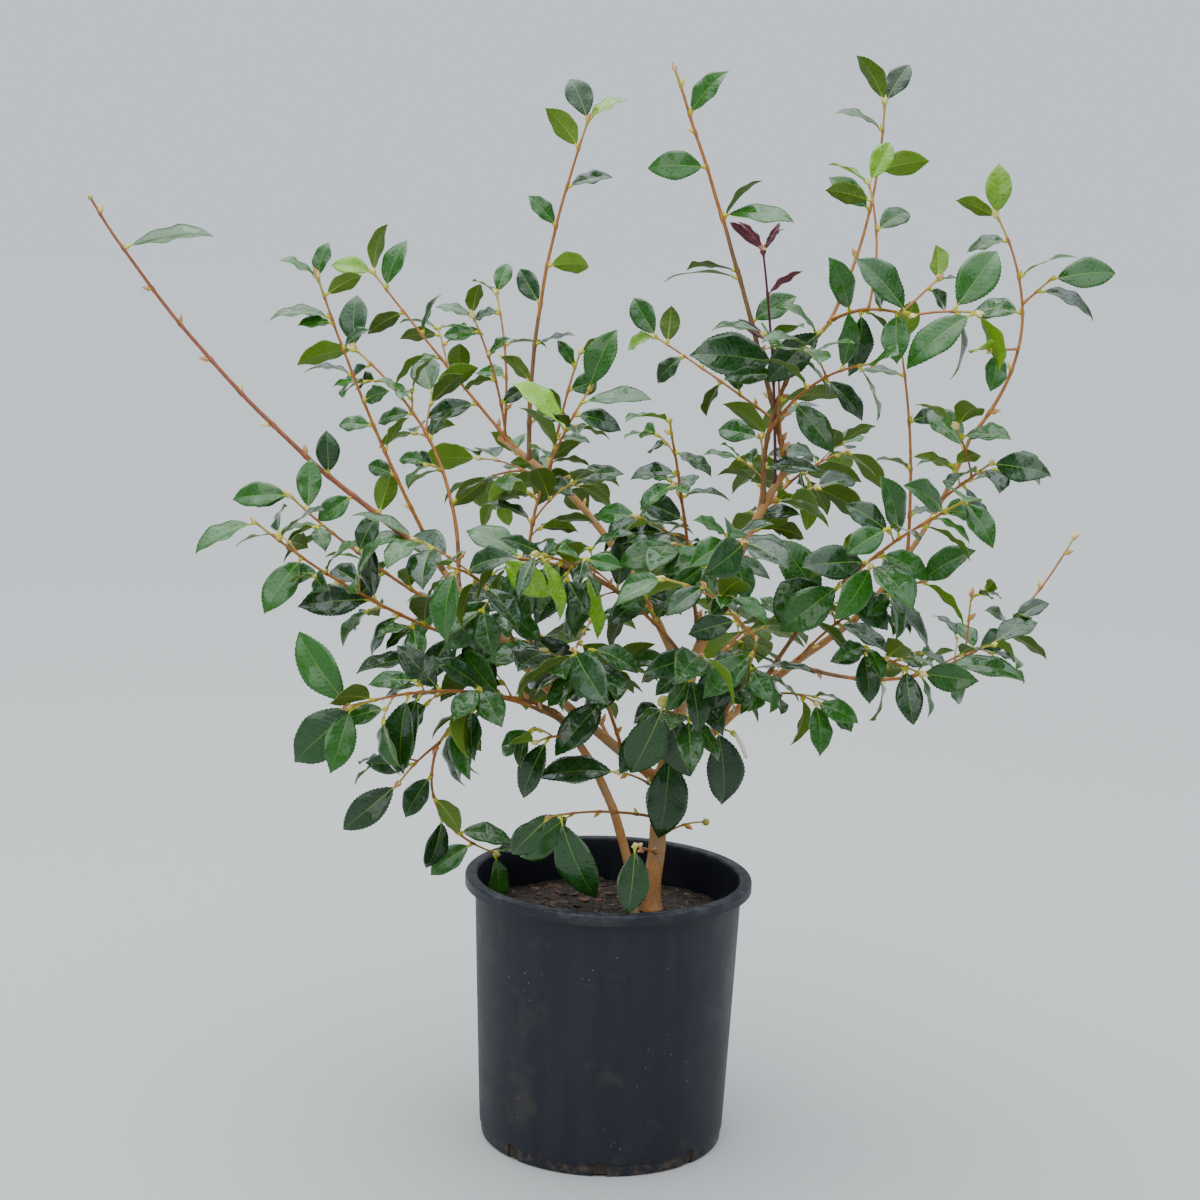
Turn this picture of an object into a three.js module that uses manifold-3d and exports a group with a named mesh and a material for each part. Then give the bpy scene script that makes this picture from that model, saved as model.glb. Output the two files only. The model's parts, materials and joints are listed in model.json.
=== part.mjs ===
// A young camellia, about 1.2 m tall, in the black 20 litre nursery pot that it is sold in.
// Millimetres, +Z up. The origin is the middle of the pot's flat underside, and +Y points
// away from the viewer who sees the shrub from its front.

import * as THREE from "three";
import Module from "manifold-3d";
import { mergeVertices } from "three/addons/utils/BufferGeometryUtils.js";

const wasm = await Module();
wasm.setup();

// Pot: blow-moulded, with a rolled rim, a narrower foot and drain slots round the foot.
const POT_HEIGHT = 311;
const RIM_RADIUS = 165;
const RIM_DEPTH = 13;
const RIM_ROUNDING = 3;
const BODY_TOP_RADIUS = 153.5;
const BODY_FOOT_RADIUS = 142;
const FOOT_STEP = 2;
const FOOT_HEIGHT = 16;
const POT_WALL = 2.5;
const POT_FLOOR = 3;
const POT_SIDES = 32;
const DRAIN_SLOTS = 8;
const SLOT_WIDTH = 16;
const SLOT_HEIGHT = 18;
const SLOT_DEPTH = 14;
const FRONT = -90;

// Compost: fills the pot to below the rim, level round the stems and sunk towards the wall.
const COMPOST_TOP = 266;
const COMPOST_LEVEL_RADIUS = 90;
const COMPOST_SLUMP = 4;

// The gap between pieces that touch, and the gap kept round each leaf. A joined mass has no
// edge shorter than SHORTEST_EDGE.
const GAP = 0.35;
const LEAF_CLEARANCE = 1.2;
const SHORTEST_EDGE = 0.03;

// Two stems rise from the compost: name, x, y, turn, lift, length, arch, sway, thick, thin.
// turn is the compass angle from +X towards +Y, and lift the angle above the horizontal.
// arch and sway bow the limb's middle, upwards and to its side. thick and thin are its
// diameters at the two ends.
const STEMS = [
  ["trunk", 50, 5, 51, 85, 150, 0, 0, 21, 19],
  ["second_stem", 30, -25, 192, 68, 260, 22, -2, 12, 9],
];
const STEM_RINGS = [0, 0.05, 0.12, 0.25, 0.5, 0.75, 1];
// The root flare widens a stem by this share of its diameter, and fades over this height.
const ROOT_FLARE = 0.43;
const FLARE_HEIGHT = 14;

// Boughs: name, parent, place on the parent, turn, lift, length, arch, sway, thick, thin.
const BOUGHS = [
  ["leader", "trunk", 1, 19, 69, 390, 14, -8, 17, 9],
  ["left_bough", "trunk", 1, 185, 44, 370, -14, -1, 13, 8],
  ["right_bough", "trunk", 1, 340, 44, 300, 8, 4, 12, 8],
  ["right_arm", "right_bough", 1, 345, 61, 240, -12, -3, 7.5, 5],
  ["back_bough", "leader", 0.28, 150, 46, 380, 35, 2, 10, 7.5],
];

// Leafy shoots: the same columns as the boughs up to the diameters, and then the habit:
// where the leaves begin and end, the distance between them, their length, how far they
// droop, the leaves in the tuft at the tip, the number of side twigs, and the rows: 1 or -1
// where leaves lie in two rows that face the front, the first on the shoot's right or left,
// and 0 where they stand all round it.
const SHOOTS = [
  ["left_whip", "left_bough", 1, 173, 44, 555, -30, -2, 7, 3, 0.04, 0.3, 38, 60, 0.1, 0, 0, -1],
  ["left_spray", "left_bough", 0.95, 212, 64, 364, -7, 3, 5, 2.4, 0.3, 0.98, 31, 47, 0.1, 2, 0, -1],
  ["left_back_spray", "left_bough", 0.88, 144, 58, 305, 32, 20, 5, 2.4, 0.25, 0.98, 38, 60, 0.15, 2, 1, 1],
  ["left_low_spray", "left_bough", 0.69, 194, 34, 285, -12, 6, 5, 2.4, 0.2, 0.97, 36, 56, 0.2, 1, 1, -1],
  ["left_front_spray", "left_bough", 0.59, 208, 28, 360, -17, 8, 5, 2.4, 0.2, 0.95, 36, 68, 0.3, 1, 1, -1],
  ["hanging_spray", "second_stem", 1, 195, -14, 140, 36, -1, 5, 3.4, 0.25, 1, 46, 78, 0.7, 0, 0, 0],
  ["hanging_tip", "hanging_spray", 1, 52, -54, 175, -24, -22, 3.4, 2.2, 0.1, 0.97, 36, 60, 0.4, 1, 0, 1],
  ["hanging_side", "hanging_spray", 0.97, 221, -35, 66, 3, 0, 3, 2.2, 0.3, 0.9, 34, 62, 0.5, 0, 0, 1],
  ["outer_left_spray", "second_stem", 0.96, 215, 9, 275, 25, -3, 5, 2.6, 0.25, 0.97, 38, 80, 0.4, 1, 1, 1],
  ["centre_left_spray", "left_bough", 0.5, 51, 77, 335, 23, -30, 5, 2.4, 0.2, 0.97, 42, 66, 0.2, 1, 1, -1],
  ["centre_spray", "leader", 0.42, 253, 59, 320, 20, 5, 5, 2.4, 0.15, 0.9, 36, 58, 0.3, 1, 1, 1],
  ["centre_front_spray", "leader", 0.34, 223, 28, 331, 34, -1, 5, 2.4, 0.2, 0.97, 40, 70, 0.5, 1, 1, 1],
  ["centre_front_tip", "centre_front_spray", 0.45, 240, 20, 195, 7, 0, 3, 2.2, 0.3, 0.97, 34, 66, 0.6, 1, 1, -1],
  ["leader_side_spray", "leader", 0.6, 58, 66, 185, -6, 17, 4, 2.2, 0.4, 0.97, 38, 58, 0.2, 2, 0, 1],
  ["leader_top_spur", "leader", 0.98, 256, 65, 145, 4, 2, 3.4, 2.4, 0.3, 0.98, 34, 72, 0.25, 1, 0, -1],
  ["leader_whip", "leader", 1, 196, 71, 465, 5, -6, 7, 3, 0.05, 0.95, 62, 60, 0.1, 0, 0, 1],
  ["leader_back_spray", "leader_whip", 0.12, 140, 25, 200, 4, -7, 3.4, 2.2, 0.2, 0.97, 34, 54, 0.15, 2, 0, 1],
  ["red_shoot", "leader", 0.94, 252, 69, 290, 12, -1, 4, 2.4, 0.5, 0.9, 58, 46, -0.1, 4, 0, -1],
  ["top_right_spray", "leader", 0.88, 312, 67, 235, 26, 10, 6, 4, 0.1, 0.97, 38, 64, 0.3, 1, 1, 1],
  ["top_right_end", "top_right_spray", 1, 303, 5, 130, 9, 3, 4, 2.8, 0.15, 0.95, 30, 62, 0.4, 2, 0, -1],
  ["top_right_tip", "top_right_end", 1, 348, 5, 70, 3, 0, 2.8, 2.2, 0.3, 1, 36, 72, 0.5, 1, 0, -1],
  ["top_right_whip", "top_right_spray", 0.97, 50, 70, 260, -16, 5, 4, 2.4, 0.45, 0.97, 40, 60, 0.05, 2, 0, -1],
  ["top_right_side", "top_right_end", 0.5, 94, 75, 140, -1, 9, 3, 2.2, 0.5, 0.97, 32, 58, 0.1, 2, 0, 1],
  ["top_right_fork", "top_right_end", 0.9, 48, 29, 75, 0, 0, 3, 2.2, 0.5, 0.97, 34, 42, 0.1, 2, 0, 1],
  ["top_right_low", "top_right_spray", 0.35, 297, 24, 225, 18, 1, 4, 2.4, 0.2, 0.97, 36, 66, 0.3, 1, 1, 1],
  ["right_whip", "right_arm", 1, 55, 82, 240, -23, 34, 4.4, 2.4, 0.5, 0.97, 42, 60, 0.15, 2, 0, -1],
  ["right_whip_side", "right_whip", 0.62, 21, 39, 45, 0, 0, 3, 2.2, 0.1, 0.9, 28, 66, 0.1, 0, 0, 1],
  ["right_whip_spur", "right_whip", 0.42, 229, 0, 55, 0, 0, 3, 2.2, 0.5, 0.95, 30, 54, 0.5, 1, 0, -1],
  ["right_front_spray", "right_bough", 0.55, 308, 40, 390, 21, 11, 5.4, 2.6, 0.2, 0.97, 33, 68, 0.35, 2, 1, -1],
  ["right_upright", "right_arm", 0.39, 151, 85, 234, 6, 3, 4, 2.2, 0.08, 0.95, 52, 44, 0.1, 1, 0, 1],
  ["right_arm_spray", "right_arm", 0.7, 291, 27, 110, 0, 0, 3.6, 2.2, 0.25, 0.95, 34, 62, 0.3, 1, 1, 1],
  ["right_low_spray", "right_bough", 0.72, 29, 18, 410, -80, 4, 5, 2.2, 0.2, 0.74, 46, 64, 0.3, 0, 1, 1],
  ["right_low_spur", "right_low_spray", 0.54, 75, 66, 75, 0, 0, 3, 2, 0.9, 0.9, 24, 40, 0.1, 0, 0, 0],
  ["right_low_front", "right_bough", 0.9, 314, -9, 130, 0, 0, 3.6, 2.2, 0.25, 0.95, 32, 60, 0.4, 2, 0, 1],
  ["right_inner_twig", "right_bough", 0.42, 308, 15, 135, 14, -9, 3.6, 2.2, 0.35, 0.95, 36, 62, 0.6, 2, 0, -1],
  ["low_left_twig", "trunk", 0.72, 227, 10, 185, 6, 4, 3.6, 2.2, 0.6, 0.95, 44, 80, 0.9, 0, 0, 0],
  ["low_centre_twig", "trunk", 0.93, 240, 23, 106, 4, 2, 3.2, 2.2, 0.5, 0.9, 40, 76, 0.8, 0, 0, 0],
  ["low_front_twig", "trunk", 0.45, 260, 18, 170, 0, 0, 3.4, 2.2, 0.9, 0.95, 40, 84, 1.4, 0, 0, 0],
  ["low_right_twig", "trunk", 0.55, 27, 14, 65, 5, -4, 3, 2, 0.4, 0.5, 40, 34, 0.2, 0, 0, 0],
  ["front_twig", "leader", 0.08, 266, 30, 205, 1, -7, 3.6, 2.4, 0.55, 0.9, 60, 84, 1, 0, 0, 0],
  ["front_right_spray", "right_bough", 0.3, 281, 39, 225, 6, -11, 4.4, 3, 0.3, 0.95, 52, 80, 0.6, 0, 0, -1],
  ["front_right_tip", "front_right_spray", 1, 233, 34, 120, 0, 0, 3, 2.2, 0.15, 0.95, 40, 60, 0.4, 1, 1, -1],
  ["back_leader", "back_bough", 0.88, 339, 81, 400, 17, 7, 6, 2.6, 0.05, 0.97, 44, 56, 0.1, 2, 0, 1],
  ["back_left_spray", "back_bough", 0.93, 162, 47, 275, -2, 1, 4.4, 2.4, 0.2, 0.97, 38, 56, 0.15, 2, 1, -1],
  ["back_twig_a", "back_bough", 0.97, 225, 69, 160, 5, -4, 3.6, 2.2, 0.2, 0.97, 34, 46, 0.1, 2, 0, 1],
  ["back_twig_b", "back_bough", 0.98, 105, 71, 180, 10, 5, 3.6, 2.2, 0.3, 0.97, 36, 48, 0.1, 2, 0, -1],
  ["back_centre_spray", "back_bough", 0.8, 33, 75, 148, 6, 4, 4, 2.2, 0.2, 0.97, 32, 46, 0.1, 1, 0, 1],
  ["back_mid_spray", "leader", 0.45, 105, 17, 315, 25, 0, 4.6, 2.4, 0.2, 0.97, 40, 70, 0.4, 3, 2, 0],
  ["back_right_spray", "leader", 0.6, 60, 22, 355, 25, -15, 5, 2.4, 0.2, 0.97, 40, 68, 0.35, 3, 2, 0],
  ["back_far_left", "back_bough", 0.6, 119, 2, 300, 30, 10, 4.6, 2.4, 0.2, 0.97, 40, 66, 0.4, 3, 2, 0],
  ["back_low_spray", "leader", 0.15, 66, 16, 315, 30, 0, 4.6, 2.4, 0.25, 0.97, 42, 74, 0.5, 3, 1, 0],
  ["back_low_left", "left_bough", 0.2, 112, 11, 320, 30, 0, 4.6, 2.4, 0.25, 0.97, 42, 74, 0.5, 3, 1, 0],
  ["front_mid_spray", "left_bough", 0.15, 254, 37, 262, 24, 6, 4.6, 2.4, 0.3, 0.97, 38, 74, 0.6, 1, 1, -1],
  ["front_low_spray", "leader", 0.2, 274, 28, 245, 18, 5, 4.4, 2.4, 0.35, 0.97, 40, 74, 0.6, 2, 0, 1],
  ["low_mid_spray", "second_stem", 0.86, 244, 9, 98, 5, 0, 3.4, 2.2, 0.45, 0.95, 34, 68, 0.9, 1, 0, -1],
  ["right_mid_spray", "right_bough", 0.72, 316, 34, 208, 14, 0, 3.6, 2.2, 0.3, 0.95, 38, 66, 0.45, 2, 0, 1],
  ["front_left_spray", "left_bough", 0.6, 256, 28, 300, 25, 0, 4.4, 2.4, 0.15, 0.97, 36, 70, 0.5, 1, 1, -1],
  ["front_high_spray", "leader", 0.5, 273, 24, 330, 30, 10, 4.4, 2.4, 0.25, 0.97, 38, 70, 0.45, 3, 1, 0],
];

// Single leaves that stand out: shoot, place on it, way, length, and the side that is shown.
// They take their places first. A way is a turn and a lift, and what is shown is set by how
// far the blade is rolled away from the front.
const WAYS = {
  left: [190, 5],
  right: [350, 10],
  "high left": [185, 50],
  "high right": [355, 50],
  "low left": [195, -40],
  "low right": [345, -40],
  "hanging left": [210, -70],
  "hanging right": [330, -70],
  hanging: [270, -75],
};
const SHOWN = { face: -20, slant: 15, edge: 40, under: 100 };
const LONE_LEAVES = [
  ["front_twig", 0.97, "hanging left", 85, "face"],
  ["front_twig", 0.9, "hanging right", 80, "face"],
  ["front_twig", 0.12, "hanging", 100, "face"],
  ["low_centre_twig", 1, "left", 90, "slant"],
  ["low_left_twig", 0.9, "hanging right", 100, "face"],
  ["low_left_twig", 1, "low left", 60, "face"],
  ["low_front_twig", 1, "hanging", 75, "face"],
  ["front_right_spray", 0.8, "low left", 85, "face"],
  ["front_right_spray", 0.05, "hanging right", 90, "slant"],
  ["right_front_spray", 0.5, "low left", 80, "face"],
  ["right_front_spray", 0.4, "high left", 85, "face"],
  ["front_left_spray", 0.1, "low left", 105, "under"],
  ["centre_left_spray", 0.15, "low right", 75, "face"],
  ["centre_front_tip", 0.95, "hanging right", 70, "edge"],
  ["centre_front_tip", 0.45, "hanging right", 75, "edge"],
  ["centre_front_spray", 1, "low right", 65, "face"],
  ["outer_left_spray", 1, "high left", 95, "face"],
  ["outer_left_spray", 0.96, "low left", 95, "face"],
  ["outer_left_spray", 0.7, "hanging left", 85, "slant"],
  ["hanging_side", 1, "low left", 80, "face"],
  ["hanging_tip", 0.85, "low left", 60, "slant"],
  ["hanging_tip", 1, "hanging right", 65, "slant"],
  ["left_whip", 0.05, "left", 80, "slant"],
  ["left_whip", 0.88, "right", 100, "slant"],
  ["left_low_spray", 1, "left", 65, "face"],
  ["left_front_spray", 0.54, "left", 80, "face"],
  ["left_back_spray", 0.3, "high right", 70, "edge"],
  ["left_spray", 0.87, "left", 65, "slant"],
  ["centre_left_spray", 0.85, "high left", 80, "slant"],
  ["centre_left_spray", 0.95, "right", 80, "slant"],
  ["leader_whip", 0.48, "left", 85, "edge"],
  ["leader_whip", 0.64, "right", 80, "slant"],
  ["leader_top_spur", 0.98, "left", 100, "face"],
  ["top_right_spray", 0.94, "low left", 85, "face"],
  ["top_right_end", 0.97, "high left", 80, "slant"],
  ["top_right_end", 0.4, "hanging", 70, "face"],
  ["top_right_tip", 0.97, "low left", 90, "slant"],
  ["top_right_tip", 0.7, "hanging right", 70, "edge"],
  ["right_arm_spray", 0.5, "right", 90, "edge"],
  ["right_low_spray", 0.46, "right", 95, "slant"],
  ["right_whip_side", 0.94, "right", 70, "face"],
];

// Round flower buds: shoot, place on it, diameter.
const FLOWER_BUDS = [
  ["front_twig", 1, 14],
  ["low_right_twig", 1, 9],
  ["centre_spray", 1, 6],
  ["left_whip", 1, 6],
];

// Leaf: a folded blade with a pointed tip that curls down. The outline is given as shares
// of the length and of the full width, and so are the middle and the end of the stalk.
const LEAF_OUTLINE = [
  [0.3, 0.46],
  [0.66, 0.42],
];
const LEAF_MIDDLE = 0.48;
const LEAF_STALK = 0.12;
const LEAF_THICKNESS = 1.5;

// How leaves differ: size as a share of the shoot's leaf length, width, curl and fold as
// shares of the leaf's own length, and droop as a share of the shoot's droop. Some shoots
// have slimmer leaves.
const LEAF_SIZE = [0.8, 1.15];
const LEAF_WIDTH = [0.42, 0.54];
const SLIM_LEAVES = { red_shoot: 0.42, centre_front_tip: 0.6 };
const LEAF_CURL = [0.08, 0.24];
const LEAF_FOLD = [0.05, 0.35];
const LEAF_DROOP = [0.6, 1.4];
const LEAF_ROLL = [-38, 38];

// How leaves stand on a shoot, in degrees: their spread from the shoot along it and in the
// tuft at its tip, and their turn round it. Where they stand all round, they are spiral on a
// steep shoot and in two rows on a flat one. Upper faces lean along the shoot, and out of the
// crown or to the front, but every third leaf of rows that face the front leans to the back.
const LEAF_SPREAD = [45, 72];
const TUFT_SPREAD = [25, 50];
const LEAF_TURN = [-40, 40];
const SPIRAL_TURN = 137.5;
const ROW_TILT = 15;
const STEEP = 0.75;
const LEAN_ALONG = 0.4;
const LEAN_OUT = 0.5;
const LEAN_FRONT = 1;
const BACK_EVERY = 3;
const WAY_SCATTER = [-10, 10];
const ROOT_SINK = 0.1;
const TUFT_START = 0.995;
const TUFT_GAP = 1.2;
const LEAF_TRIES = 8;

// Limbs are tubes with this many sides, and with rings about this far apart.
const TRUNK_SIDES = 10;
const BOUGH_SIDES = 8;
const TWIG_SIDES = 3;
const BOUGH_STEP = 50;
const SHOOT_STEP = 90;

// Side twigs of the shoots: where they may start, and their turn round the shoot.
const TWIG_PLACES = [0.3, 0.75];
const TWIG_PLACE_SHIFT = [0.2, 0.8];
const TWIG_TURN = [-30, 60];
const TWIG_LENGTH = 75;
const TWIG_SIZE = [0.8, 1.2];
const TWIG_ARCH = 4;
const TWIG_DIAMETER = 2.4;
const TWIG_TAPER = 0.8;
const TWIG_RINGS = [0, 0.5, 1];
const TWIG_HABIT = { first: 0.35, last: 0.9, gap: 26, tuft: 2, rows: 0 };

// Each twig and leaf draws from a seed of its own, worked out from its shoot's number.
const SEEDS_A_TWIG = 1000;
const SEEDS_A_SHOOT = 100;
const TRIES_A_SEED = 10;
const TWIG_SEED = 200;
const TWIG_SEED_STEP = 60;
const LONE_SEED = 90000;

const UP = new THREE.Vector3(0, 0, 1);
const BACK = new THREE.Vector3(0, 1, 0);
const radians = THREE.MathUtils.degToRad;
const degrees = THREE.MathUtils.radToDeg;
const mix = THREE.MathUtils.lerp;

// Random numbers from 0 to 1 that are the same in every run.
function seeded(seed) {
  let state = seed >>> 0;
  return () => {
    state = (state + 0x6d2b79f5) >>> 0;
    let t = Math.imul(state ^ (state >>> 15), 1 | state);
    t = (t + Math.imul(t ^ (t >>> 7), 61 | t)) ^ t;
    return ((t ^ (t >>> 14)) >>> 0) / 4294967296;
  };
}

function within([low, high], random) {
  return mix(low, high, random());
}

// Closed geometry as a solid that can be joined and cut, and a solid as geometry.
function solid(geometry) {
  const bare = geometry.clone();
  bare.deleteAttribute("normal");
  bare.deleteAttribute("uv");
  const merged = mergeVertices(bare, 1e-4);
  return new wasm.Manifold(
    new wasm.Mesh({
      numProp: 3,
      vertProperties: merged.attributes.position.array,
      triVerts: new Uint32Array(merged.index.array),
    }),
  );
}

function geometryOf(made) {
  const mesh = made.getMesh();
  const geometry = new THREE.BufferGeometry();
  geometry.setAttribute("position", new THREE.BufferAttribute(mesh.vertProperties, 3));
  geometry.setIndex(new THREE.BufferAttribute(mesh.triVerts, 1));
  geometry.computeVertexNormals();
  return geometry;
}

function fromFaces(corners, faces) {
  const geometry = new THREE.BufferGeometry();
  geometry.setFromPoints(corners);
  geometry.setIndex(faces.flat());
  return geometry;
}

function largestBody(made) {
  return made.decompose().reduce((best, body) => (body.volume() > best.volume() ? body : best));
}

// Directions. A limb's up and side are at right angles to it.
function direction(turn, lift) {
  const t = radians(turn);
  const l = radians(lift);
  return new THREE.Vector3(Math.cos(l) * Math.cos(t), Math.cos(l) * Math.sin(t), Math.sin(l));
}

function across(along) {
  const up = UP.clone().addScaledVector(along, -UP.dot(along)).normalize();
  return [up, new THREE.Vector3().crossVectors(along, up)];
}

// A limb's centre line is one bow from its start to its end.
function bow(start, turn, lift, length, arch, sway) {
  const along = direction(turn, lift);
  const [up, side] = across(along);
  const middle = start.clone().addScaledVector(along, length / 2);
  const control = middle.addScaledVector(up, 2 * arch).addScaledVector(side, 2 * sway);
  const end = start.clone().addScaledVector(along, length);
  return new THREE.QuadraticBezierCurve3(start, control, end);
}

// A tapering tube along a limb. grow makes it wider and longer all round.
function tube(limb, grow = 0) {
  const wider = grow / Math.cos(Math.PI / limb.sides);
  const corners = [];
  let [up] = across(limb.path.getTangent(0));
  for (const share of limb.rings) {
    const centre = limb.path.getPoint(share);
    const along = limb.level && share === 0 ? UP : limb.path.getTangent(share);
    if (share === 0) centre.addScaledVector(along, -grow);
    if (share === 1) centre.addScaledVector(along, grow);
    up = up.clone().addScaledVector(along, -up.dot(along)).normalize();
    const side = new THREE.Vector3().crossVectors(along, up);
    const radius = limb.radiusAt(share) + wider;
    for (let i = 0; i < limb.sides; i++) {
      const angle = (2 * Math.PI * i) / limb.sides;
      const out = up.clone().multiplyScalar(Math.cos(angle)).addScaledVector(side, Math.sin(angle));
      corners.push(centre.clone().addScaledVector(out, radius));
    }
  }
  const faces = [];
  const n = limb.sides;
  const last = corners.length - n;
  for (let ring = 0; ring < last; ring += n) {
    for (let i = 0; i < n; i++) {
      const j = (i + 1) % n;
      faces.push([ring + i, ring + j, ring + n + j], [ring + i, ring + n + j, ring + n + i]);
    }
  }
  for (let i = 1; i < n - 1; i++) {
    faces.push([0, i + 1, i], [last, last + i, last + i + 1]);
  }
  return solid(fromFaces(corners, faces));
}

function evenShares(length, step) {
  const count = Math.max(2, Math.round(length / step));
  return Array.from({ length: count + 1 }, (_, i) => i / count);
}

// All limbs by name, so that each can start on its parent.
const limbs = new Map();

function addLimb(name, path, thick, thin, sides, rings) {
  const radiusAt = (share) => mix(thick, thin, share) / 2;
  const limb = { name, path, radiusAt, sides, rings, length: path.getLength() };
  limbs.set(name, limb);
  return limb;
}

// A point on a limb's centre line, which runs straight from ring to ring.
function pointOn(limb, share) {
  const next = Math.max(1, limb.rings.findIndex((ring) => ring >= share));
  const [a, b] = [limb.rings[next - 1], limb.rings[next]];
  return limb.path.getPoint(a).lerp(limb.path.getPoint(b), (share - a) / (b - a));
}

function addStem([name, x, y, turn, lift, length, arch, sway, thick, thin]) {
  const path = bow(new THREE.Vector3(x, y, COMPOST_TOP + GAP), turn, lift, length, arch, sway);
  const limb = addLimb(name, path, thick, thin, TRUNK_SIDES, STEM_RINGS);
  limb.radiusAt = (share) => {
    const flare = ROOT_FLARE * thick * Math.exp((-share * length) / FLARE_HEIGHT);
    return (mix(thick, thin, share) + flare) / 2;
  };
  limb.level = true;
}

function addBranch([name, parent, at, turn, lift, length, arch, sway, thick, thin], sides, step) {
  const start = pointOn(limbs.get(parent), at);
  const path = bow(start, turn, lift, length, arch, sway);
  const limb = addLimb(name, path, thick, thin, sides, evenShares(length, step));
  limb.parent = parent;
  return limb;
}

STEMS.forEach(addStem);
BOUGHS.forEach((row) => addBranch(row, BOUGH_SIDES, BOUGH_STEP));
SHOOTS.forEach((row) => addBranch(row, TWIG_SIDES, SHOOT_STEP));

// A mass of foliage is a shoot that grows from a bough, with the shoots that branch from it.
const isShoot = (name) => SHOOTS.some((row) => row[0] === name);
function massOf(name) {
  const { parent } = limbs.get(name);
  return isShoot(name) && isShoot(parent) ? massOf(parent) : name;
}

// Pot: the wall's profile from the middle of the underside, up the outside, over the rolled
// rim and down the inside.
function innerRadius(height) {
  const share = (height - POT_FLOOR) / (POT_HEIGHT - POT_FLOOR);
  return mix(BODY_FOOT_RADIUS, BODY_TOP_RADIUS, share) - POT_WALL;
}

function lathe(points) {
  const profile = points.map(([radius, height]) => new THREE.Vector2(radius, height));
  return new THREE.LatheGeometry(profile, POT_SIDES).rotateX(Math.PI / 2);
}

function makePot() {
  const footRadius = BODY_FOOT_RADIUS - FOOT_STEP;
  const underRim = POT_HEIGHT - 2 * RIM_ROUNDING;
  const lip = RIM_RADIUS - POT_WALL;
  const wall = lathe([
    [0, 0],
    [footRadius - RIM_ROUNDING, 0],
    [footRadius, RIM_ROUNDING],
    [footRadius, FOOT_HEIGHT - FOOT_STEP],
    [BODY_FOOT_RADIUS, FOOT_HEIGHT],
    [BODY_TOP_RADIUS, underRim],
    [lip, underRim],
    [lip, POT_HEIGHT - RIM_DEPTH],
    [RIM_RADIUS, POT_HEIGHT - RIM_DEPTH],
    [RIM_RADIUS, POT_HEIGHT - RIM_ROUNDING],
    [RIM_RADIUS - RIM_ROUNDING, POT_HEIGHT],
    [BODY_TOP_RADIUS, POT_HEIGHT],
    [innerRadius(POT_HEIGHT), POT_HEIGHT - RIM_ROUNDING],
    [innerRadius(POT_FLOOR), POT_FLOOR],
    [0, POT_FLOOR],
  ]);
  let pot = solid(wall);
  for (let i = 0; i < DRAIN_SLOTS; i++) {
    const slot = new THREE.BoxGeometry(SLOT_DEPTH, SLOT_WIDTH, 2 * SLOT_HEIGHT);
    slot.translate(footRadius, 0, 0);
    slot.rotateZ(radians(FRONT + (360 * i) / DRAIN_SLOTS));
    pot = pot.subtract(solid(slot));
  }
  return pot;
}

function makeCompost() {
  const floor = POT_FLOOR + GAP;
  const edge = COMPOST_TOP - COMPOST_SLUMP;
  return solid(
    lathe([
      [0, floor],
      [innerRadius(floor) - 2 * GAP, floor],
      [innerRadius(edge) - 2 * GAP, edge],
      [COMPOST_LEVEL_RADIUS, COMPOST_TOP],
      [0, COMPOST_TOP],
    ]),
  );
}

// What leaves and twigs must keep clear of.
const taken = [];

function take(made, owner) {
  const box = made.boundingBox();
  taken.push({ made, owner, box });
}

function boxesMeet(a, b) {
  return [0, 1, 2].every((i) => a.min[i] < b.max[i] && b.min[i] < a.max[i]);
}

function touches(made, owner, ignored) {
  const box = made.boundingBox();
  return taken.some((other) => {
    if (other.owner === owner || other.owner === ignored) return false;
    if (!boxesMeet(box, other.box)) return false;
    const common = made.intersect(other.made);
    const meets = !common.isEmpty();
    common.delete();
    return meets;
  });
}

// A limb's solid, cut back where it starts inside limbs of other nodes.
function limbSolid(limb, node) {
  let made = tube(limb);
  for (const other of limbs.values()) {
    if (other === limb) break;
    if (massOf(other.name) === node) continue;
    const cutter = tube(other, GAP);
    if (boxesMeet(made.boundingBox(), cutter.boundingBox())) made = made.subtract(cutter);
  }
  return largestBody(made);
}

// Leaves. A point of the blade is given by its share of the length, its distance from the
// midrib and its height above the folded surface.
function bladePoint(leaf, share, offset, height) {
  const bend = leaf.curl * (share - 2 * share * share);
  const rise = leaf.length * bend + leaf.fold * Math.abs(offset) + height;
  return leaf.root
    .clone()
    .addScaledVector(leaf.along, share * leaf.length)
    .addScaledVector(leaf.side, offset)
    .addScaledVector(leaf.up, rise);
}

function leafSolid(leaf) {
  const corners = [bladePoint(leaf, 0, 0, 0), bladePoint(leaf, 1, 0, 0)];
  const right = LEAF_OUTLINE.map(([share, wide]) => bladePoint(leaf, share, wide * leaf.width, 0));
  const left = LEAF_OUTLINE.map(([share, wide]) => bladePoint(leaf, share, -wide * leaf.width, 0));
  const half = LEAF_THICKNESS / 2;
  const ring = [corners[0], ...right, corners[1], ...left.reverse()];
  ring.push(bladePoint(leaf, LEAF_MIDDLE, 0, half), bladePoint(leaf, LEAF_MIDDLE, 0, -half));
  const n = ring.length - 2;
  const faces = [];
  for (let i = 0; i < n; i++) {
    const j = (i + 1) % n;
    faces.push([i, j, n], [j, i, n + 1]);
  }
  return solid(fromFaces(ring, faces));
}

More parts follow.
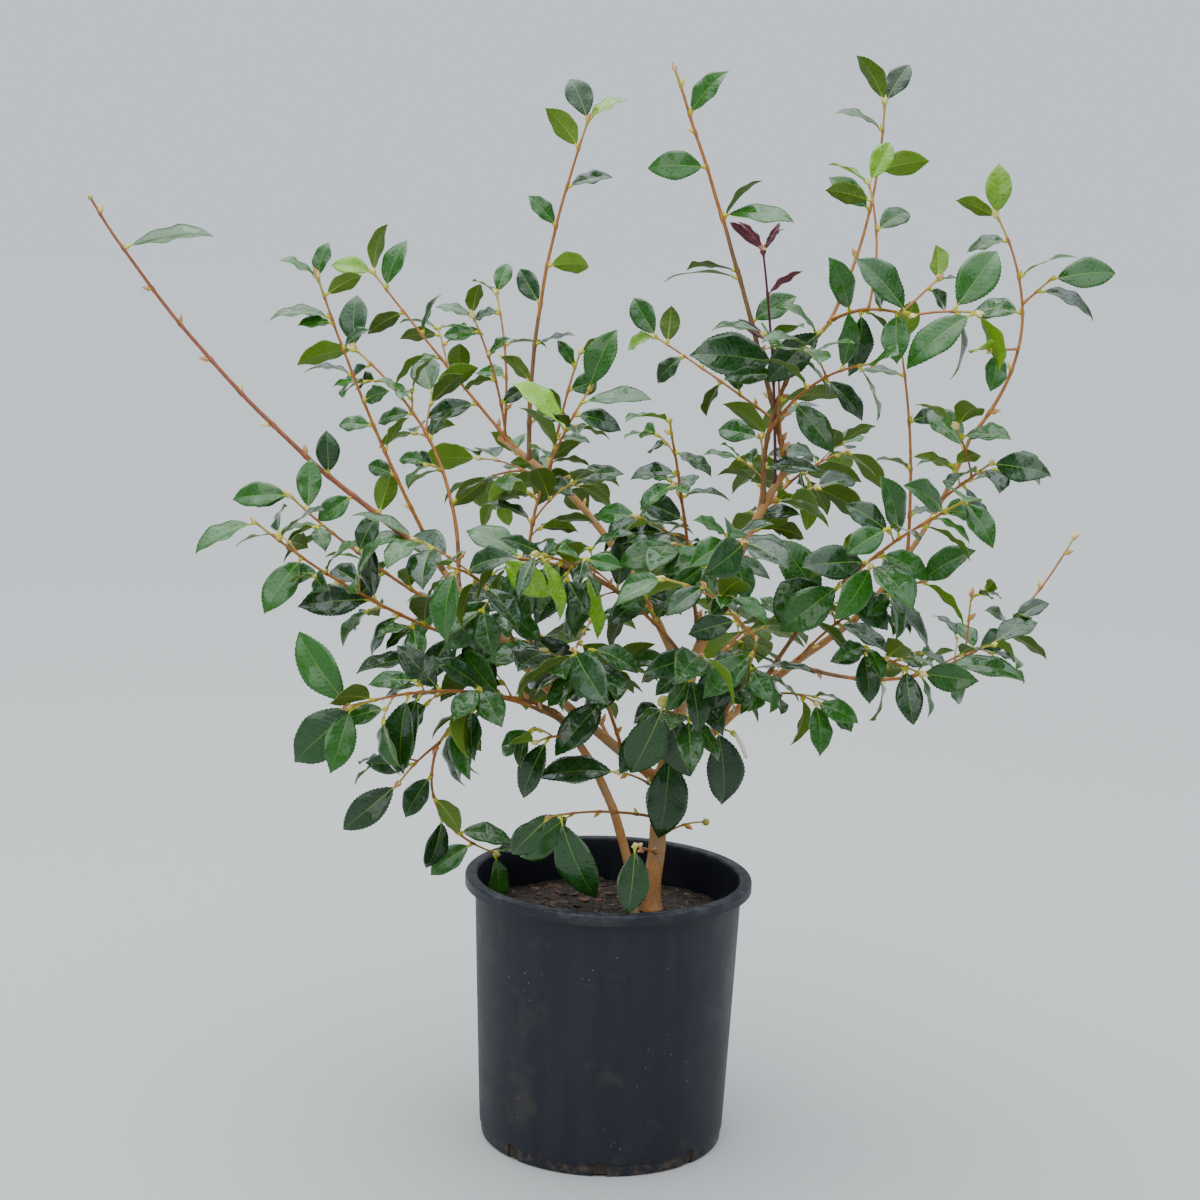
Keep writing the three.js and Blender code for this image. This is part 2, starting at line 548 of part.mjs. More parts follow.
// The space that a leaf needs: its blade without the stalk, made thicker and wider.
function leafSpace(leaf) {
  const outline = [[LEAF_STALK, 0], ...LEAF_OUTLINE, [1, 0]];
  const wide = outline.map(([share, w]) => [share, w * leaf.width + LEAF_CLEARANCE]);
  const narrow = wide.slice().reverse();
  const edge = [...wide, ...narrow.map(([share, w]) => [share, -w])];
  const n = edge.length;
  const ring = (height) => edge.map(([share, w]) => bladePoint(leaf, share, w, height));
  const corners = [...ring(LEAF_CLEARANCE), ...ring(-LEAF_CLEARANCE)];
  corners.push(bladePoint(leaf, LEAF_MIDDLE, 0, LEAF_CLEARANCE));
  corners.push(bladePoint(leaf, LEAF_MIDDLE, 0, -LEAF_CLEARANCE));
  const faces = [];
  for (let i = 0; i < n; i++) {
    const j = (i + 1) % n;
    faces.push([i, j, 2 * n], [n + j, n + i, 2 * n + 1]);
    faces.push([j, i, n + i], [j, n + i, n + j]);
  }
  return solid(fromFaces(corners, faces));
}

// The direction that leaves a limb at share, turned round it by turn and away from it by
// spread.
function outOf(limb, share, turn, spread) {
  const along = limb.path.getTangent(share);
  const [up, side] = across(along);
  const outward = side.multiplyScalar(Math.cos(turn)).addScaledVector(up, Math.sin(turn));
  return along.multiplyScalar(Math.cos(spread)).addScaledVector(outward, Math.sin(spread));
}

// The turn round a limb at which its right-hand side lies, seen from the front.
function rightOf(along) {
  const [up, side] = across(along);
  const right = new THREE.Vector3().crossVectors(BACK, along);
  return degrees(Math.atan2(right.dot(up), right.dot(side)));
}

// A leaf on a limb. order is its number on the limb, and tuft is true in the tuft at the tip.
function shapeLeaf(limb, share, order, habit, tuft, random) {
  const along = limb.path.getTangent(share);
  const { rows } = habit;
  const backward = order % BACK_EVERY === 1;
  const front = rows ? (backward ? -1 : 1) : 0;
  let turn = order % 2 ? 180 - ROW_TILT : ROW_TILT;
  if (rows) turn = rightOf(along) + ((order % 2 === 0) === (rows > 0) ? 0 : 180);
  else if (Math.abs(along.z) > STEEP) turn = order * SPIRAL_TURN;
  turn += within(LEAF_TURN, random);
  const spread = within(tuft ? TUFT_SPREAD : LEAF_SPREAD, random);
  const aim = outOf(limb, share, radians(turn), radians(spread));
  aim.z -= habit.droop * within(LEAF_DROOP, random);
  aim.normalize();
  const length = habit.leaf * within(LEAF_SIZE, random);
  return buildLeaf(limb, share, aim, front, length, within(LEAF_ROLL, random), random);
}

// A leaf that stands out. Its seed turns it a little off its way.
function loneLeaf(limb, share, way, length, shown, random) {
  const [turn, lift] = WAYS[way].map((angle) => angle + within(WAY_SCATTER, random));
  const aim = direction(turn, lift);
  const roll = aim.x < 0 ? SHOWN[shown] : -SHOWN[shown];
  return buildLeaf(limb, share, aim, 1, length, roll, random);
}

// What an upper face leans to: the front at 1, the back at -1, out of the crown at 0.
function leanOf(centre, front) {
  if (front) return BACK.clone().multiplyScalar(-LEAN_FRONT * front);
  return new THREE.Vector3(centre.x, centre.y, 0).normalize().multiplyScalar(LEAN_OUT);
}

function buildLeaf(limb, share, aim, front, length, roll, random) {
  const centre = pointOn(limb, share);
  const upward = UP.clone().addScaledVector(limb.path.getTangent(share), LEAN_ALONG);
  upward.add(leanOf(centre, front));
  upward.addScaledVector(aim, -upward.dot(aim)).normalize();
  upward.applyAxisAngle(aim, radians(roll));
  return {
    root: centre.addScaledVector(aim, -ROOT_SINK * limb.radiusAt(share)),
    length,
    along: aim,
    up: upward,
    side: new THREE.Vector3().crossVectors(aim, upward),
    width: length * within(LEAF_WIDTH, random) * (SLIM_LEAVES[limb.name] ?? 1),
    curl: within(LEAF_CURL, random),
    fold: within(LEAF_FOLD, random),
  };
}

// Tries the leaf a few times, each with its own turn, and leaves it out if none is clear.
function placeLeaf(seed, limb, make) {
  for (let attempt = 0; attempt < LEAF_TRIES; attempt++) {
    const leaf = make(seeded(seed * TRIES_A_SEED + attempt));
    const space = leafSpace(leaf);
    const made = leafSolid(leaf);
    if (!touches(space, limb.name) && !touches(made, limb.name, "leaf")) {
      take(space, "leaf");
      return made;
    }
  }
  return null;
}

function leafPlaces(length, first, last, gap) {
  const count = Math.max(0, Math.round(((last - first) * length) / gap));
  return Array.from({ length: count }, (_, i) => first + ((last - first) * (i + 0.5)) / count);
}

function growLeaves(limb, habit, seed) {
  const places = leafPlaces(limb.length, habit.first, habit.last, habit.gap);
  const step = TUFT_GAP / limb.length;
  const tuft = Array.from({ length: habit.tuft }, (_, i) => TUFT_START - i * step);
  return [...places, ...tuft].map((share, order) =>
    placeLeaf(seed * SEEDS_A_SHOOT + order, limb, (random) =>
      shapeLeaf(limb, share, order, habit, order >= places.length, random),
    ),
  );
}

// A side twig that branches from a shoot by the seeded rule, or null where it isn't clear.
function growTwig(limb, order, count, seed) {
  const random = seeded(seed * SEEDS_A_TWIG + order);
  const share = mix(...TWIG_PLACES, (order + within(TWIG_PLACE_SHIFT, random)) / count);
  const round = radians(order * 180 + within(TWIG_TURN, random));
  const aim = outOf(limb, share, round, radians(45));
  const turn = degrees(Math.atan2(aim.y, aim.x));
  const lift = degrees(Math.asin(aim.z));
  const length = TWIG_LENGTH * within(TWIG_SIZE, random);
  const path = bow(pointOn(limb, share), turn, lift, length, TWIG_ARCH, 0);
  const name = `${limb.name} twig ${order}`;
  const thin = TWIG_DIAMETER * TWIG_TAPER;
  const twig = addLimb(name, path, TWIG_DIAMETER, thin, TWIG_SIDES, TWIG_RINGS);
  const made = tube(twig);
  if (touches(made, limb.name)) {
    limbs.delete(name);
    return null;
  }
  take(tube(twig, GAP), name);
  return { twig, made };
}

// Assembly: pot and compost, then the woody limbs, the shoots' stems, the leaves that stand
// out, and last the side twigs and the other leaves, each kept clear of all before it.
const group = new THREE.Group();

function addMesh(name, made, material) {
  const mesh = new THREE.Mesh(geometryOf(made), material);
  mesh.name = name;
  group.add(mesh);
}

const plastic = new THREE.MeshStandardMaterial({ color: 0x23252e, roughness: 0.55 });
const compostBrown = new THREE.MeshStandardMaterial({ color: 0x3a2a1e, roughness: 0.95 });
const bark = new THREE.MeshStandardMaterial({ color: 0x8c6544, roughness: 0.8 });
const foliage = new THREE.MeshStandardMaterial({ color: 0x1f3d2a, roughness: 0.3 });
const redFoliage = new THREE.MeshStandardMaterial({ color: 0x5a1f2a, roughness: 0.35 });

const pot = makePot();
const compost = makeCompost();
take(pot, "pot");
take(compost, "compost");
addMesh("pot", pot, plastic);
addMesh("compost", compost, compostBrown);

for (const row of [...STEMS, ...BOUGHS]) {
  const limb = limbs.get(row[0]);
  const made = limbSolid(limb, limb.name);
  take(tube(limb, GAP), limb.name);
  addMesh(limb.name, made, bark);
}

const parts = new Map();
for (const [name] of SHOOTS) {
  const limb = limbs.get(name);
  const node = massOf(name);
  const made = limbSolid(limb, node);
  take(tube(limb, GAP), name);
  if (!parts.has(node)) parts.set(node, []);
  parts.get(node).push(made);
}

LONE_LEAVES.forEach(([name, share, way, length, shown], index) => {
  const limb = limbs.get(name);
  const made = placeLeaf(LONE_SEED + index, limb, (random) =>
    loneLeaf(limb, share, way, length, shown, random),
  );
  if (made) parts.get(massOf(name)).push(made);
});

SHOOTS.forEach((row, index) => {
  const [first, last, gap, leaf, droop, tuft, twigs, rows] = row.slice(10);
  const limb = limbs.get(row[0]);
  const habit = { first, last, gap, leaf, droop, tuft, rows };
  const seed = index + 1;
  const found = [];
  for (let order = 0; order < twigs; order++) {
    const grown = growTwig(limb, order, twigs, seed);
    if (!grown) continue;
    const twigSeed = seed + TWIG_SEED + TWIG_SEED_STEP * order;
    found.push(grown.made, ...growLeaves(grown.twig, { ...TWIG_HABIT, leaf, droop }, twigSeed));
  }
  found.push(...growLeaves(limb, habit, seed));
  parts.get(massOf(row[0])).push(...found.filter(Boolean));
});

for (const [name, share, diameter] of FLOWER_BUDS) {
  const ball = new THREE.IcosahedronGeometry(diameter / 2, 0);
  const centre = pointOn(limbs.get(name), share);
  parts.get(massOf(name)).push(solid(ball.translate(centre.x, centre.y, centre.z)));
}

for (const [node, pieces] of parts) {
  const material = node === "red_shoot" ? redFoliage : foliage;
  const joined = wasm.Manifold.union(pieces).simplify(SHORTEST_EDGE);
  addMesh(node, largestBody(joined), material);
}

export default group;
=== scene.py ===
# A young camellia in its nursery pot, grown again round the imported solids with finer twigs,
# serrated leaves, buds, bark and compost. The solids are in metres. Sizes here are in
# millimetres until a mesh is made.

import json
import math
from types import SimpleNamespace

import bmesh
import bpy
import numpy as np
from mathutils import Matrix, Vector, noise
from mathutils.bvhtree import BVHTree
from mathutils.kdtree import KDTree

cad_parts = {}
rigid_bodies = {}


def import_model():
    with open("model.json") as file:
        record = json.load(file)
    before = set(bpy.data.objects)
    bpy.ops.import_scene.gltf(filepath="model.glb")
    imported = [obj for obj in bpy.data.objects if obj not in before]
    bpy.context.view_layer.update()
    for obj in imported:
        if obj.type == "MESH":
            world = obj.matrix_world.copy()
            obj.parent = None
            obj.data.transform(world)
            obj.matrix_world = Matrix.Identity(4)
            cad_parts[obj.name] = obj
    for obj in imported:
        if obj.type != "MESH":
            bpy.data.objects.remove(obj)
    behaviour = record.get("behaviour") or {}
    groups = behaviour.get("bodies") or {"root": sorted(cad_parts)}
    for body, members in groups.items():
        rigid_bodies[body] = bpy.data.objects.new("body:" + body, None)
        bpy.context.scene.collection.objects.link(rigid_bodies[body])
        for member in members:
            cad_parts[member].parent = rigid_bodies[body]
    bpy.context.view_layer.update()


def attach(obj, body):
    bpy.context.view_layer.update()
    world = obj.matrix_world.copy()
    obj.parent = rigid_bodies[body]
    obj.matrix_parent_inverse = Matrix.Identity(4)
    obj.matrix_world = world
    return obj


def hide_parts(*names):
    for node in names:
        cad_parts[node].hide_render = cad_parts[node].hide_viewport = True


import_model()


# Camera: 2.6 m in front of the shrub at chest height, looking a little down at it. It leans
# by 1.8 degrees, as a camera held in the hand does.
CAMERA_PLACE = (-0.0198, -2.640, 1.078)
CAMERA_LENS = 71.1
CAMERA_PITCH = math.radians(90 - 9.64)
CAMERA_LEAN = math.radians(1.8)


def add_object(name, data, smooth=False):
    """Puts a mesh, lamp or camera in the scene as an object."""
    made = bpy.data.objects.new(name, data)
    bpy.context.scene.collection.objects.link(made)
    if smooth:
        data.shade_smooth()
    return made


camera = add_object("camera", bpy.data.cameras.new("camera"))
camera.data.sensor_width = 36
camera.data.lens = CAMERA_LENS
pitch = Matrix.Rotation(CAMERA_PITCH, 4, "X")
lean = Matrix.Rotation(CAMERA_LEAN, 4, "Z")
camera.matrix_world = Matrix.Translation(CAMERA_PLACE) @ pitch @ lean
bpy.context.scene.camera = camera


# Floor and studio light: a plain pale floor under a large white ceiling of light, like an
# overcast sky. The walls are dim between the pale band at the horizon, which is as bright as
# the floor so that no edge shows, and the ceiling. Two soft lamps give the light direction.
FLOOR_COLOUR = "#b4b4b2"
FLOOR_SIDE = 60
SURROUND_COLOUR = "#e7eff7"
HORIZON_STRENGTH = 1.01
WALL_STRENGTH = 0.3
CEILING_STRENGTH = 2.9
# Where the horizon gives way to the walls and the walls to the ceiling, as the sine of the
# height above the horizon.
WALL_BAND = (0.1, 0.3)
CEILING_BAND = (0.35, 0.85)
# Each lamp: place, side in metres, power in watts. Every lamp looks at the crown.
LAMPS = {
    "overhead_lamp": ((-0.5, 0.3, 3.4), 2.6, 40),
    "front_lamp": ((-1.0, -3.5, 2.4), 2.4, 46),
}
LAMP_AIM = Vector((0, 0, 0.75))


def linear(code):
    """An sRGB hex colour as linear red, green and blue, with an alpha of 1."""
    parts = [int(code[i : i + 2], 16) / 255 for i in (1, 3, 5)]
    return [p / 12.92 if p <= 0.04045 else ((p + 0.055) / 1.055) ** 2.4 for p in parts] + [1]


def add_node(tree, kind, inputs=None, output=0, **settings):
    """Adds a node and gives one output. An input that is given a socket is linked to it."""
    made = tree.nodes.new("ShaderNode" + kind)
    for name, value in settings.items():
        setattr(made, name, value)
    for name, value in (inputs or {}).items():
        if isinstance(value, bpy.types.NodeSocket):
            tree.links.new(value, made.inputs[name])
        else:
            made.inputs[name].default_value = value
    return made.outputs[output]


def new_material(name, inputs):
    """A material with one Principled shader, whose sockets are set from inputs."""
    material = bpy.data.materials.new(name)
    material.use_nodes = True
    for socket, value in inputs.items():
        material.node_tree.nodes["Principled BSDF"].inputs[socket].default_value = value
    return material, material.node_tree


def link_shader(tree, sockets):
    """Links sockets to the inputs of a material's shader."""
    for name, socket in sockets.items():
        tree.links.new(socket, tree.nodes["Principled BSDF"].inputs[name])


def lay_over(tree, below, code, pattern, low, high, most=1, where=None):
    """Lays a colour over the one below, from none where the pattern is low to most at high."""
    share = {"Value": pattern, "From Min": low, "From Max": high, "To Max": most}
    share = add_node(tree, "MapRange", share)
    if where:
        share = add_node(tree, "Math", {0: where, 1: share}, operation="MULTIPLY")
    return add_node(tree, "MixRGB", {"Fac": share, "Color1": below, "Color2": linear(code)})


half = FLOOR_SIDE / 2
floor_mesh = bpy.data.meshes.new("floor")
floor_corners = [(-half, -half, 0), (half, -half, 0), (half, half, 0), (-half, half, 0)]
floor_mesh.from_pydata(floor_corners, [], [(0, 1, 2, 3)])
floor_look = {"Base Color": linear(FLOOR_COLOUR), "Roughness": 0.8}
floor_mesh.materials.append(new_material("painted studio floor", floor_look)[0])
add_object("floor", floor_mesh)

world = bpy.data.worlds.new("studio")
world.use_nodes = True
tree = world.node_tree
surround = tree.nodes["Background"]
surround.inputs["Color"].default_value = linear(SURROUND_COLOUR)
place = add_node(tree, "TexCoord", output="Generated")
height = add_node(tree, "SeparateXYZ", {0: place}, "Z")
band = {"Value": height, "From Min": WALL_BAND[0], "From Max": WALL_BAND[1]}
band |= {"To Min": HORIZON_STRENGTH, "To Max": WALL_STRENGTH}
wall = add_node(tree, "MapRange", band, interpolation_type="SMOOTHSTEP")
band = {"Value": height, "From Min": CEILING_BAND[0], "From Max": CEILING_BAND[1]}
band |= {"To Max": CEILING_STRENGTH}
ceiling = add_node(tree, "MapRange", band, interpolation_type="SMOOTHSTEP")
brightness = add_node(tree, "Math", {0: wall, 1: ceiling}, operation="ADD")
tree.links.new(brightness, surround.inputs["Strength"])
bpy.context.scene.world = world

for lamp_name, (lamp_place, lamp_side, lamp_power) in LAMPS.items():
    lamp = add_object(lamp_name, bpy.data.lights.new(lamp_name, "AREA"))
    lamp.data.shape = "SQUARE"
    lamp.data.size = lamp_side
    lamp.data.energy = lamp_power
    lamp.location = lamp_place
    lamp.rotation_euler = (LAMP_AIM - lamp.location).to_track_quat("-Z", "Y").to_euler()


# Pot: a round 20 litre nursery pot of recycled black polypropylene, blow-moulded in one
# piece with a thin wall. Its collar is turned down outside the wall, its foot is drawn in,
# and eight drain slots are punched round the foot.
MM = 0.001
POT_HEIGHT = 311
RIM_RADIUS = 165
RIM_DEPTH = 13
RIM_ROUNDING = 3.5
UNDER_RIM = 6
BODY_TOP_RADIUS = 153.5
BODY_FOOT_RADIUS = 142
FOOT_STEP = 2
FOOT_HEIGHT = 16
FOOT_ROUNDING = 4
STEP_ROUNDING = 1.2
POT_WALL = 2.5
POT_FLOOR = 3
POT_SIDES = 160
# How far the wall is out of round: in two lobes, and in five.
POT_BULGE = 0.7
POT_DENT = 0.3
DRAIN_SLOTS = 8
SLOT_SIZE = (14, 16, 36)
SLOT_ROUNDING = 3
FRONT = -90


def arc(centre_radius, centre_height, radius, first, last, steps):
    """Points of a profile on an arc, from angle first to angle last in degrees."""
    angles = np.radians(np.linspace(first, last, steps + 1))
    return [(centre_radius + radius * math.cos(a), centre_height + radius * math.sin(a)) for a in angles]


def line(start, end, steps):
    """Points of a profile on a straight line, without its first."""
    (x, y), (far_x, far_y) = start, end
    return [(x + (far_x - x) * i / steps, y + (far_y - y) * i / steps) for i in range(1, steps + 1)]


def inner_radius(height):
    share = (height - POT_FLOOR) / (POT_HEIGHT - POT_FLOOR)
    return BODY_FOOT_RADIUS + (BODY_TOP_RADIUS - BODY_FOOT_RADIUS) * share - POT_WALL


def pot_profile():
    """The wall from the underside up the outside, over the collar and down the inside."""
    foot = BODY_FOOT_RADIUS - FOOT_STEP
    under_rim = POT_HEIGHT - UNDER_RIM
    lip = RIM_RADIUS - POT_WALL
    low = POT_HEIGHT - RIM_DEPTH
    points = [(0, 0), (foot * 0.5, 0)]
    points += arc(foot - FOOT_ROUNDING, FOOT_ROUNDING, FOOT_ROUNDING, -90, 0, 5)
    points += line((foot, FOOT_ROUNDING), (foot, FOOT_HEIGHT - FOOT_STEP - 1), 4)
    points += arc(BODY_FOOT_RADIUS - STEP_ROUNDING, FOOT_HEIGHT, STEP_ROUNDING, -60, 0, 3)
    points += line((BODY_FOOT_RADIUS, FOOT_HEIGHT), (BODY_TOP_RADIUS, under_rim - 1), 40)
    points += [(BODY_TOP_RADIUS + 0.6, under_rim), (lip - 1, under_rim), (lip, under_rim - 1)]
    points += [(lip, low + 0.4), (lip + 0.5, low), (RIM_RADIUS - 0.6, low), (RIM_RADIUS, low + 0.6)]
    points += line((RIM_RADIUS, low + 0.6), (RIM_RADIUS, POT_HEIGHT - RIM_ROUNDING), 3)
    points += arc(RIM_RADIUS - RIM_ROUNDING, POT_HEIGHT - RIM_ROUNDING, RIM_ROUNDING, 12, 90, 5)
    crown = inner_radius(POT_HEIGHT) + RIM_ROUNDING
    points += line((RIM_RADIUS - RIM_ROUNDING, POT_HEIGHT), (crown, POT_HEIGHT), 3)
    points += arc(crown, POT_HEIGHT - RIM_ROUNDING, RIM_ROUNDING, 100, 180, 5)
    inside_top = (inner_radius(POT_HEIGHT), POT_HEIGHT - RIM_ROUNDING - 1)
    points += line(inside_top, (inner_radius(POT_FLOOR), POT_FLOOR), 30)
    return points + [(0, POT_FLOOR)]


def lathe(name, profile, sides, wobble):
    """A profile turned round Z. wobble(angle, height) is added to the radius."""
    mesh = bpy.data.meshes.new(name)
    body = bmesh.new()
    rings = []
    for radius, height in profile:
        if radius == 0:
            rings.append([body.verts.new((0, 0, height * MM))])
            continue
        ring = []
        for i in range(sides):
            angle = 2 * math.pi * i / sides
            out = (radius + wobble(angle, height)) * MM
            ring.append(body.verts.new((out * math.cos(angle), out * math.sin(angle), height * MM)))
        rings.append(ring)
    for low, high in zip(rings, rings[1:]):
        for i in range(sides):
            j = (i + 1) % sides
            corners = [low[i % len(low)], low[j % len(low)], high[j % len(high)], high[i % len(high)]]
            body.faces.new(list(dict.fromkeys(corners)))
    body.to_mesh(mesh)
    body.free()
    return mesh


def pot_wobble(angle, height):
    """The wall is a little out of round, more so at mid height, where the compost pushes."""
    bulge = math.sin(math.pi * height / POT_HEIGHT)
    return bulge * (POT_BULGE * math.sin(2 * angle + 0.6) + POT_DENT * math.sin(5 * angle))


def apply_modifier(target, kind, **settings):
    """Adds a modifier to an object and applies it."""
    modifier = target.modifiers.new(kind.lower(), kind)
    for setting, value in settings.items():
        setattr(modifier, setting, value)
    with bpy.context.temp_override(object=target, active_object=target, selected_objects=[target]):
        bpy.ops.object.modifier_apply(modifier=modifier.name)


slots = bmesh.new()
for i in range(DRAIN_SLOTS):
    turn = Matrix.Rotation(math.radians(FRONT + 360 * i / DRAIN_SLOTS), 4, "Z")
    place = Matrix.Translation((BODY_FOOT_RADIUS * MM - FOOT_STEP * MM, 0, 0))
    size = Matrix.Diagonal((*(side * MM for side in SLOT_SIZE), 1))
    bmesh.ops.create_cube(slots, size=1, matrix=turn @ place @ size)
level = [e for e in slots.edges if abs(e.verts[0].co.z - e.verts[1].co.z) < 1e-6]
bmesh.ops.bevel(slots, geom=level, offset=SLOT_ROUNDING * MM, segments=3, affect="EDGES")
slot_mesh = bpy.data.meshes.new("slots")
slots.to_mesh(slot_mesh)
slots.free()
slot_cutter = add_object("slots", slot_mesh)

pot = add_object("nursery_pot", lathe("nursery_pot", pot_profile(), POT_SIDES, pot_wobble), smooth=True)
apply_modifier(pot, "BOOLEAN", object=slot_cutter, operation="DIFFERENCE", solver="EXACT")
bpy.data.objects.remove(slot_cutter)
pot.data.shade_smooth()
pot.data.set_sharp_from_angle(angle=math.radians(40))

# Moulded black polypropylene: a blue-grey satin, dulled by a dry film of dust and lime in
# soft streaks, with mud splashed on the foot and pale scuffs on the collar. The scales are
# counts in a metre.
POT_BLACK = "#0c0f1b"
POT_STREAK = "#171b29"
POT_DUST = "#4a4334"
POT_MUD = "#5a4a36"
POT_SCUFF = "#565a62"
POT_SPECK = "#7d7a74"

pot_finish, tree = new_material("moulded black polypropylene", {"IOR": 1.49, "Specular IOR Level": 0.4})
place = add_node(tree, "TexCoord", output="Object")
height = add_node(tree, "SeparateXYZ", {0: place}, "Z")
# Streaks about 17 mm wide run down the wall.
stretched = add_node(tree, "Mapping", {"Vector": place, "Scale": (60, 60, 6)})
streak = add_node(tree, "TexNoise", {"Vector": stretched, "Scale": 1, "Detail": 4})
colour = lay_over(tree, linear(POT_BLACK), POT_STREAK, streak, 0.42, 0.75, 0.7)
# Dust lies in patches of about 70 mm.
patch = add_node(tree, "TexNoise", {"Vector": place, "Scale": 14, "Detail": 6, "Roughness": 0.65})
colour = lay_over(tree, colour, POT_DUST, patch, 0.57, 0.72, 0.36)
# Mud reaches 40 mm up from the ground, in crusts of about 10 mm.
splash = {"Value": height, "From Min": 0.01, "From Max": 0.04, "To Min": 1, "To Max": 0}
splash = add_node(tree, "MapRange", splash)
spatter = add_node(tree, "TexNoise", {"Vector": place, "Scale": 90, "Detail": 5, "Roughness": 0.7})
mud = add_node(tree, "Math", {0: splash, 1: spatter}, operation="MULTIPLY")
colour = lay_over(tree, colour, POT_MUD, mud, 0.46, 0.62, 0.7)
# Scuffs lie on the collar alone, the top 9 mm, in patches of about 17 mm.
collar = add_node(tree, "MapRange", {"Value": height, "From Min": 0.302, "From Max": 0.311})
wear = add_node(tree, "TexNoise", {"Vector": place, "Scale": 60, "Detail": 5, "Roughness": 0.75})
colour = lay_over(tree, colour, POT_SCUFF, wear, 0.48, 0.66, 0.5, where=collar)
# Lime specks are about 1 mm wide and 10 mm apart, in groups.
cell = add_node(tree, "TexVoronoi", {"Vector": place, "Scale": 95})
speck = add_node(tree, "MapRange", {"Value": cell, "From Min": 0.09, "From Max": 0.05})
few = add_node(tree, "TexNoise", {"Vector": place, "Scale": 17, "Detail": 1})
colour = lay_over(tree, colour, POT_SPECK, few, 0.56, 0.66, 0.7, where=speck)
# Clean plastic is satin, and dust makes it matt. The moulded skin is pebbled at 1.5 mm.
rough = {"Value": patch, "From Min": 0.3, "From Max": 0.7, "To Min": 0.42, "To Max": 0.6}
rough = add_node(tree, "MapRange", rough)
pebble = add_node(tree, "TexNoise", {"Vector": place, "Scale": 650, "Detail": 3})
bump = add_node(tree, "Bump", {"Height": pebble, "Strength": 0.25, "Distance": 0.0004})
link_shader(tree, {"Base Color": colour, "Roughness": rough, "Normal": bump})

pot.data.materials.clear()
pot.data.materials.append(pot_finish)
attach(pot, "root")
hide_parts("pot")


# Compost: moist peat-free compost, settled 45 mm below the rim and lowest by the wall. Its
# surface is crumbs of about 5 mm with chips of composted bark pressed into it.
COMPOST_TOP = 266
COMPOST_LEVEL_RADIUS = 90
COMPOST_SLUMP = 4
COMPOST_SIDES = 160
COMPOST_RINGS = 62
GAP = 0.35
# The surface rolls by WAVE_RISE over WAVE_WIDTH, and its crumbs stand up to CRUMB_RISE.
WAVE_WIDTH = 38
WAVE_RISE = 1.5
CRUMB_SIZE = 9
CRUMB_RISE = 3.2
# Kinds of bits: how many, their length, and their thickness as a share of their breadth.
BITS = {"chip": (420, (4, 17), 0.3), "crumb": (900, (2, 5), 0.7)}
BIT_BREADTH = (0.35, 0.75)
BIT_TILT = 0.5
BIT_UNEVEN = (0.7, 1.25)
WALL_CLEAR = 8
RED_CHIPS = 0.3
PALE_CRUMBS = 0.06
BIT_SEED = 4100


def seeded(seed):
    """Random numbers from 0 to 1 that are the same in every run, as the solids draw them."""
    mask = 0xFFFFFFFF
    state = seed & mask

    def draw():
        nonlocal state
        state = (state + 0x6D2B79F5) & mask
        t = (state ^ (state >> 15)) * (1 | state) & mask
        t ^= (t + ((t ^ (t >> 7)) * (61 | t) & mask)) & mask
        return ((t ^ (t >> 14)) & mask) / 4294967296

    return draw


def mix(low, high, share):
    return (1 - share) * low + share * high


def within(limits, random):
    return mix(limits[0], limits[1], random())


def compost_height(x, y):
    """The height of the crumbly surface at a place, in millimetres."""
    radius = math.hypot(x, y)
    edge = inner_radius(COMPOST_TOP)
    slump = max(0, radius - COMPOST_LEVEL_RADIUS) / (edge - COMPOST_LEVEL_RADIUS)
    wide = noise.noise(Vector((x, y, 0)) / WAVE_WIDTH)
    crumbs = noise.turbulence(Vector((x, y, 7)) / CRUMB_SIZE, 3, False)
    return COMPOST_TOP - COMPOST_SLUMP * slump + WAVE_RISE * wide + CRUMB_RISE * (crumbs - 0.5)


surface_radii = np.linspace(0, inner_radius(COMPOST_TOP) - 2 * GAP, COMPOST_RINGS)
floor_radius = inner_radius(POT_FLOOR + GAP) - 2 * GAP
compost_profile = [(r, 0) for r in surface_radii] + [(floor_radius, POT_FLOOR + GAP)]
compost_mesh = lathe("compost_surface", compost_profile, COMPOST_SIDES, lambda angle, height: 0)
for vertex in compost_mesh.vertices:
    if vertex.co.z == 0:
        vertex.co.z = compost_height(vertex.co.x / MM, vertex.co.y / MM) * MM
compost_mesh.flip_normals()

chips = bmesh.new()
random = seeded(BIT_SEED)
for kind, (count, lengths, flat) in BITS.items():
    for _ in range(count):
        radius = (inner_radius(COMPOST_TOP) - WALL_CLEAR) * math.sqrt(random())
        angle = 2 * math.pi * random()
        x, y = radius * math.cos(angle), radius * math.sin(angle)
        length = mix(lengths[0], lengths[1], random() ** 2)
        breadth = length * within(BIT_BREADTH, random)
        size = Matrix.Diagonal((length * MM, breadth * MM, flat * breadth * MM, 1))
        tilt = Matrix.Rotation(mix(-BIT_TILT, BIT_TILT, random()), 4, "X")
        turn = Matrix.Rotation(math.pi * random(), 4, "Z") @ tilt
        place = Matrix.Translation((x * MM, y * MM, (compost_height(x, y) + 0.5) * MM))
        shape = place @ turn @ size
        made = bmesh.ops.create_icosphere(chips, subdivisions=1, radius=0.5, matrix=shape)["verts"]
        centre = place.translation
        for vertex in made:
            vertex.co = centre + (vertex.co - centre) * within(BIT_UNEVEN, random)
        shade = 2 if random() < RED_CHIPS else 1
        if kind == "crumb":
            shade = 3 if random() < PALE_CRUMBS else 0
        for face in {f for v in made for f in v.link_faces}:
            face.material_index = shade
chip_mesh = bpy.data.meshes.new("compost_chips")
chips.to_mesh(chip_mesh)
chips.free()

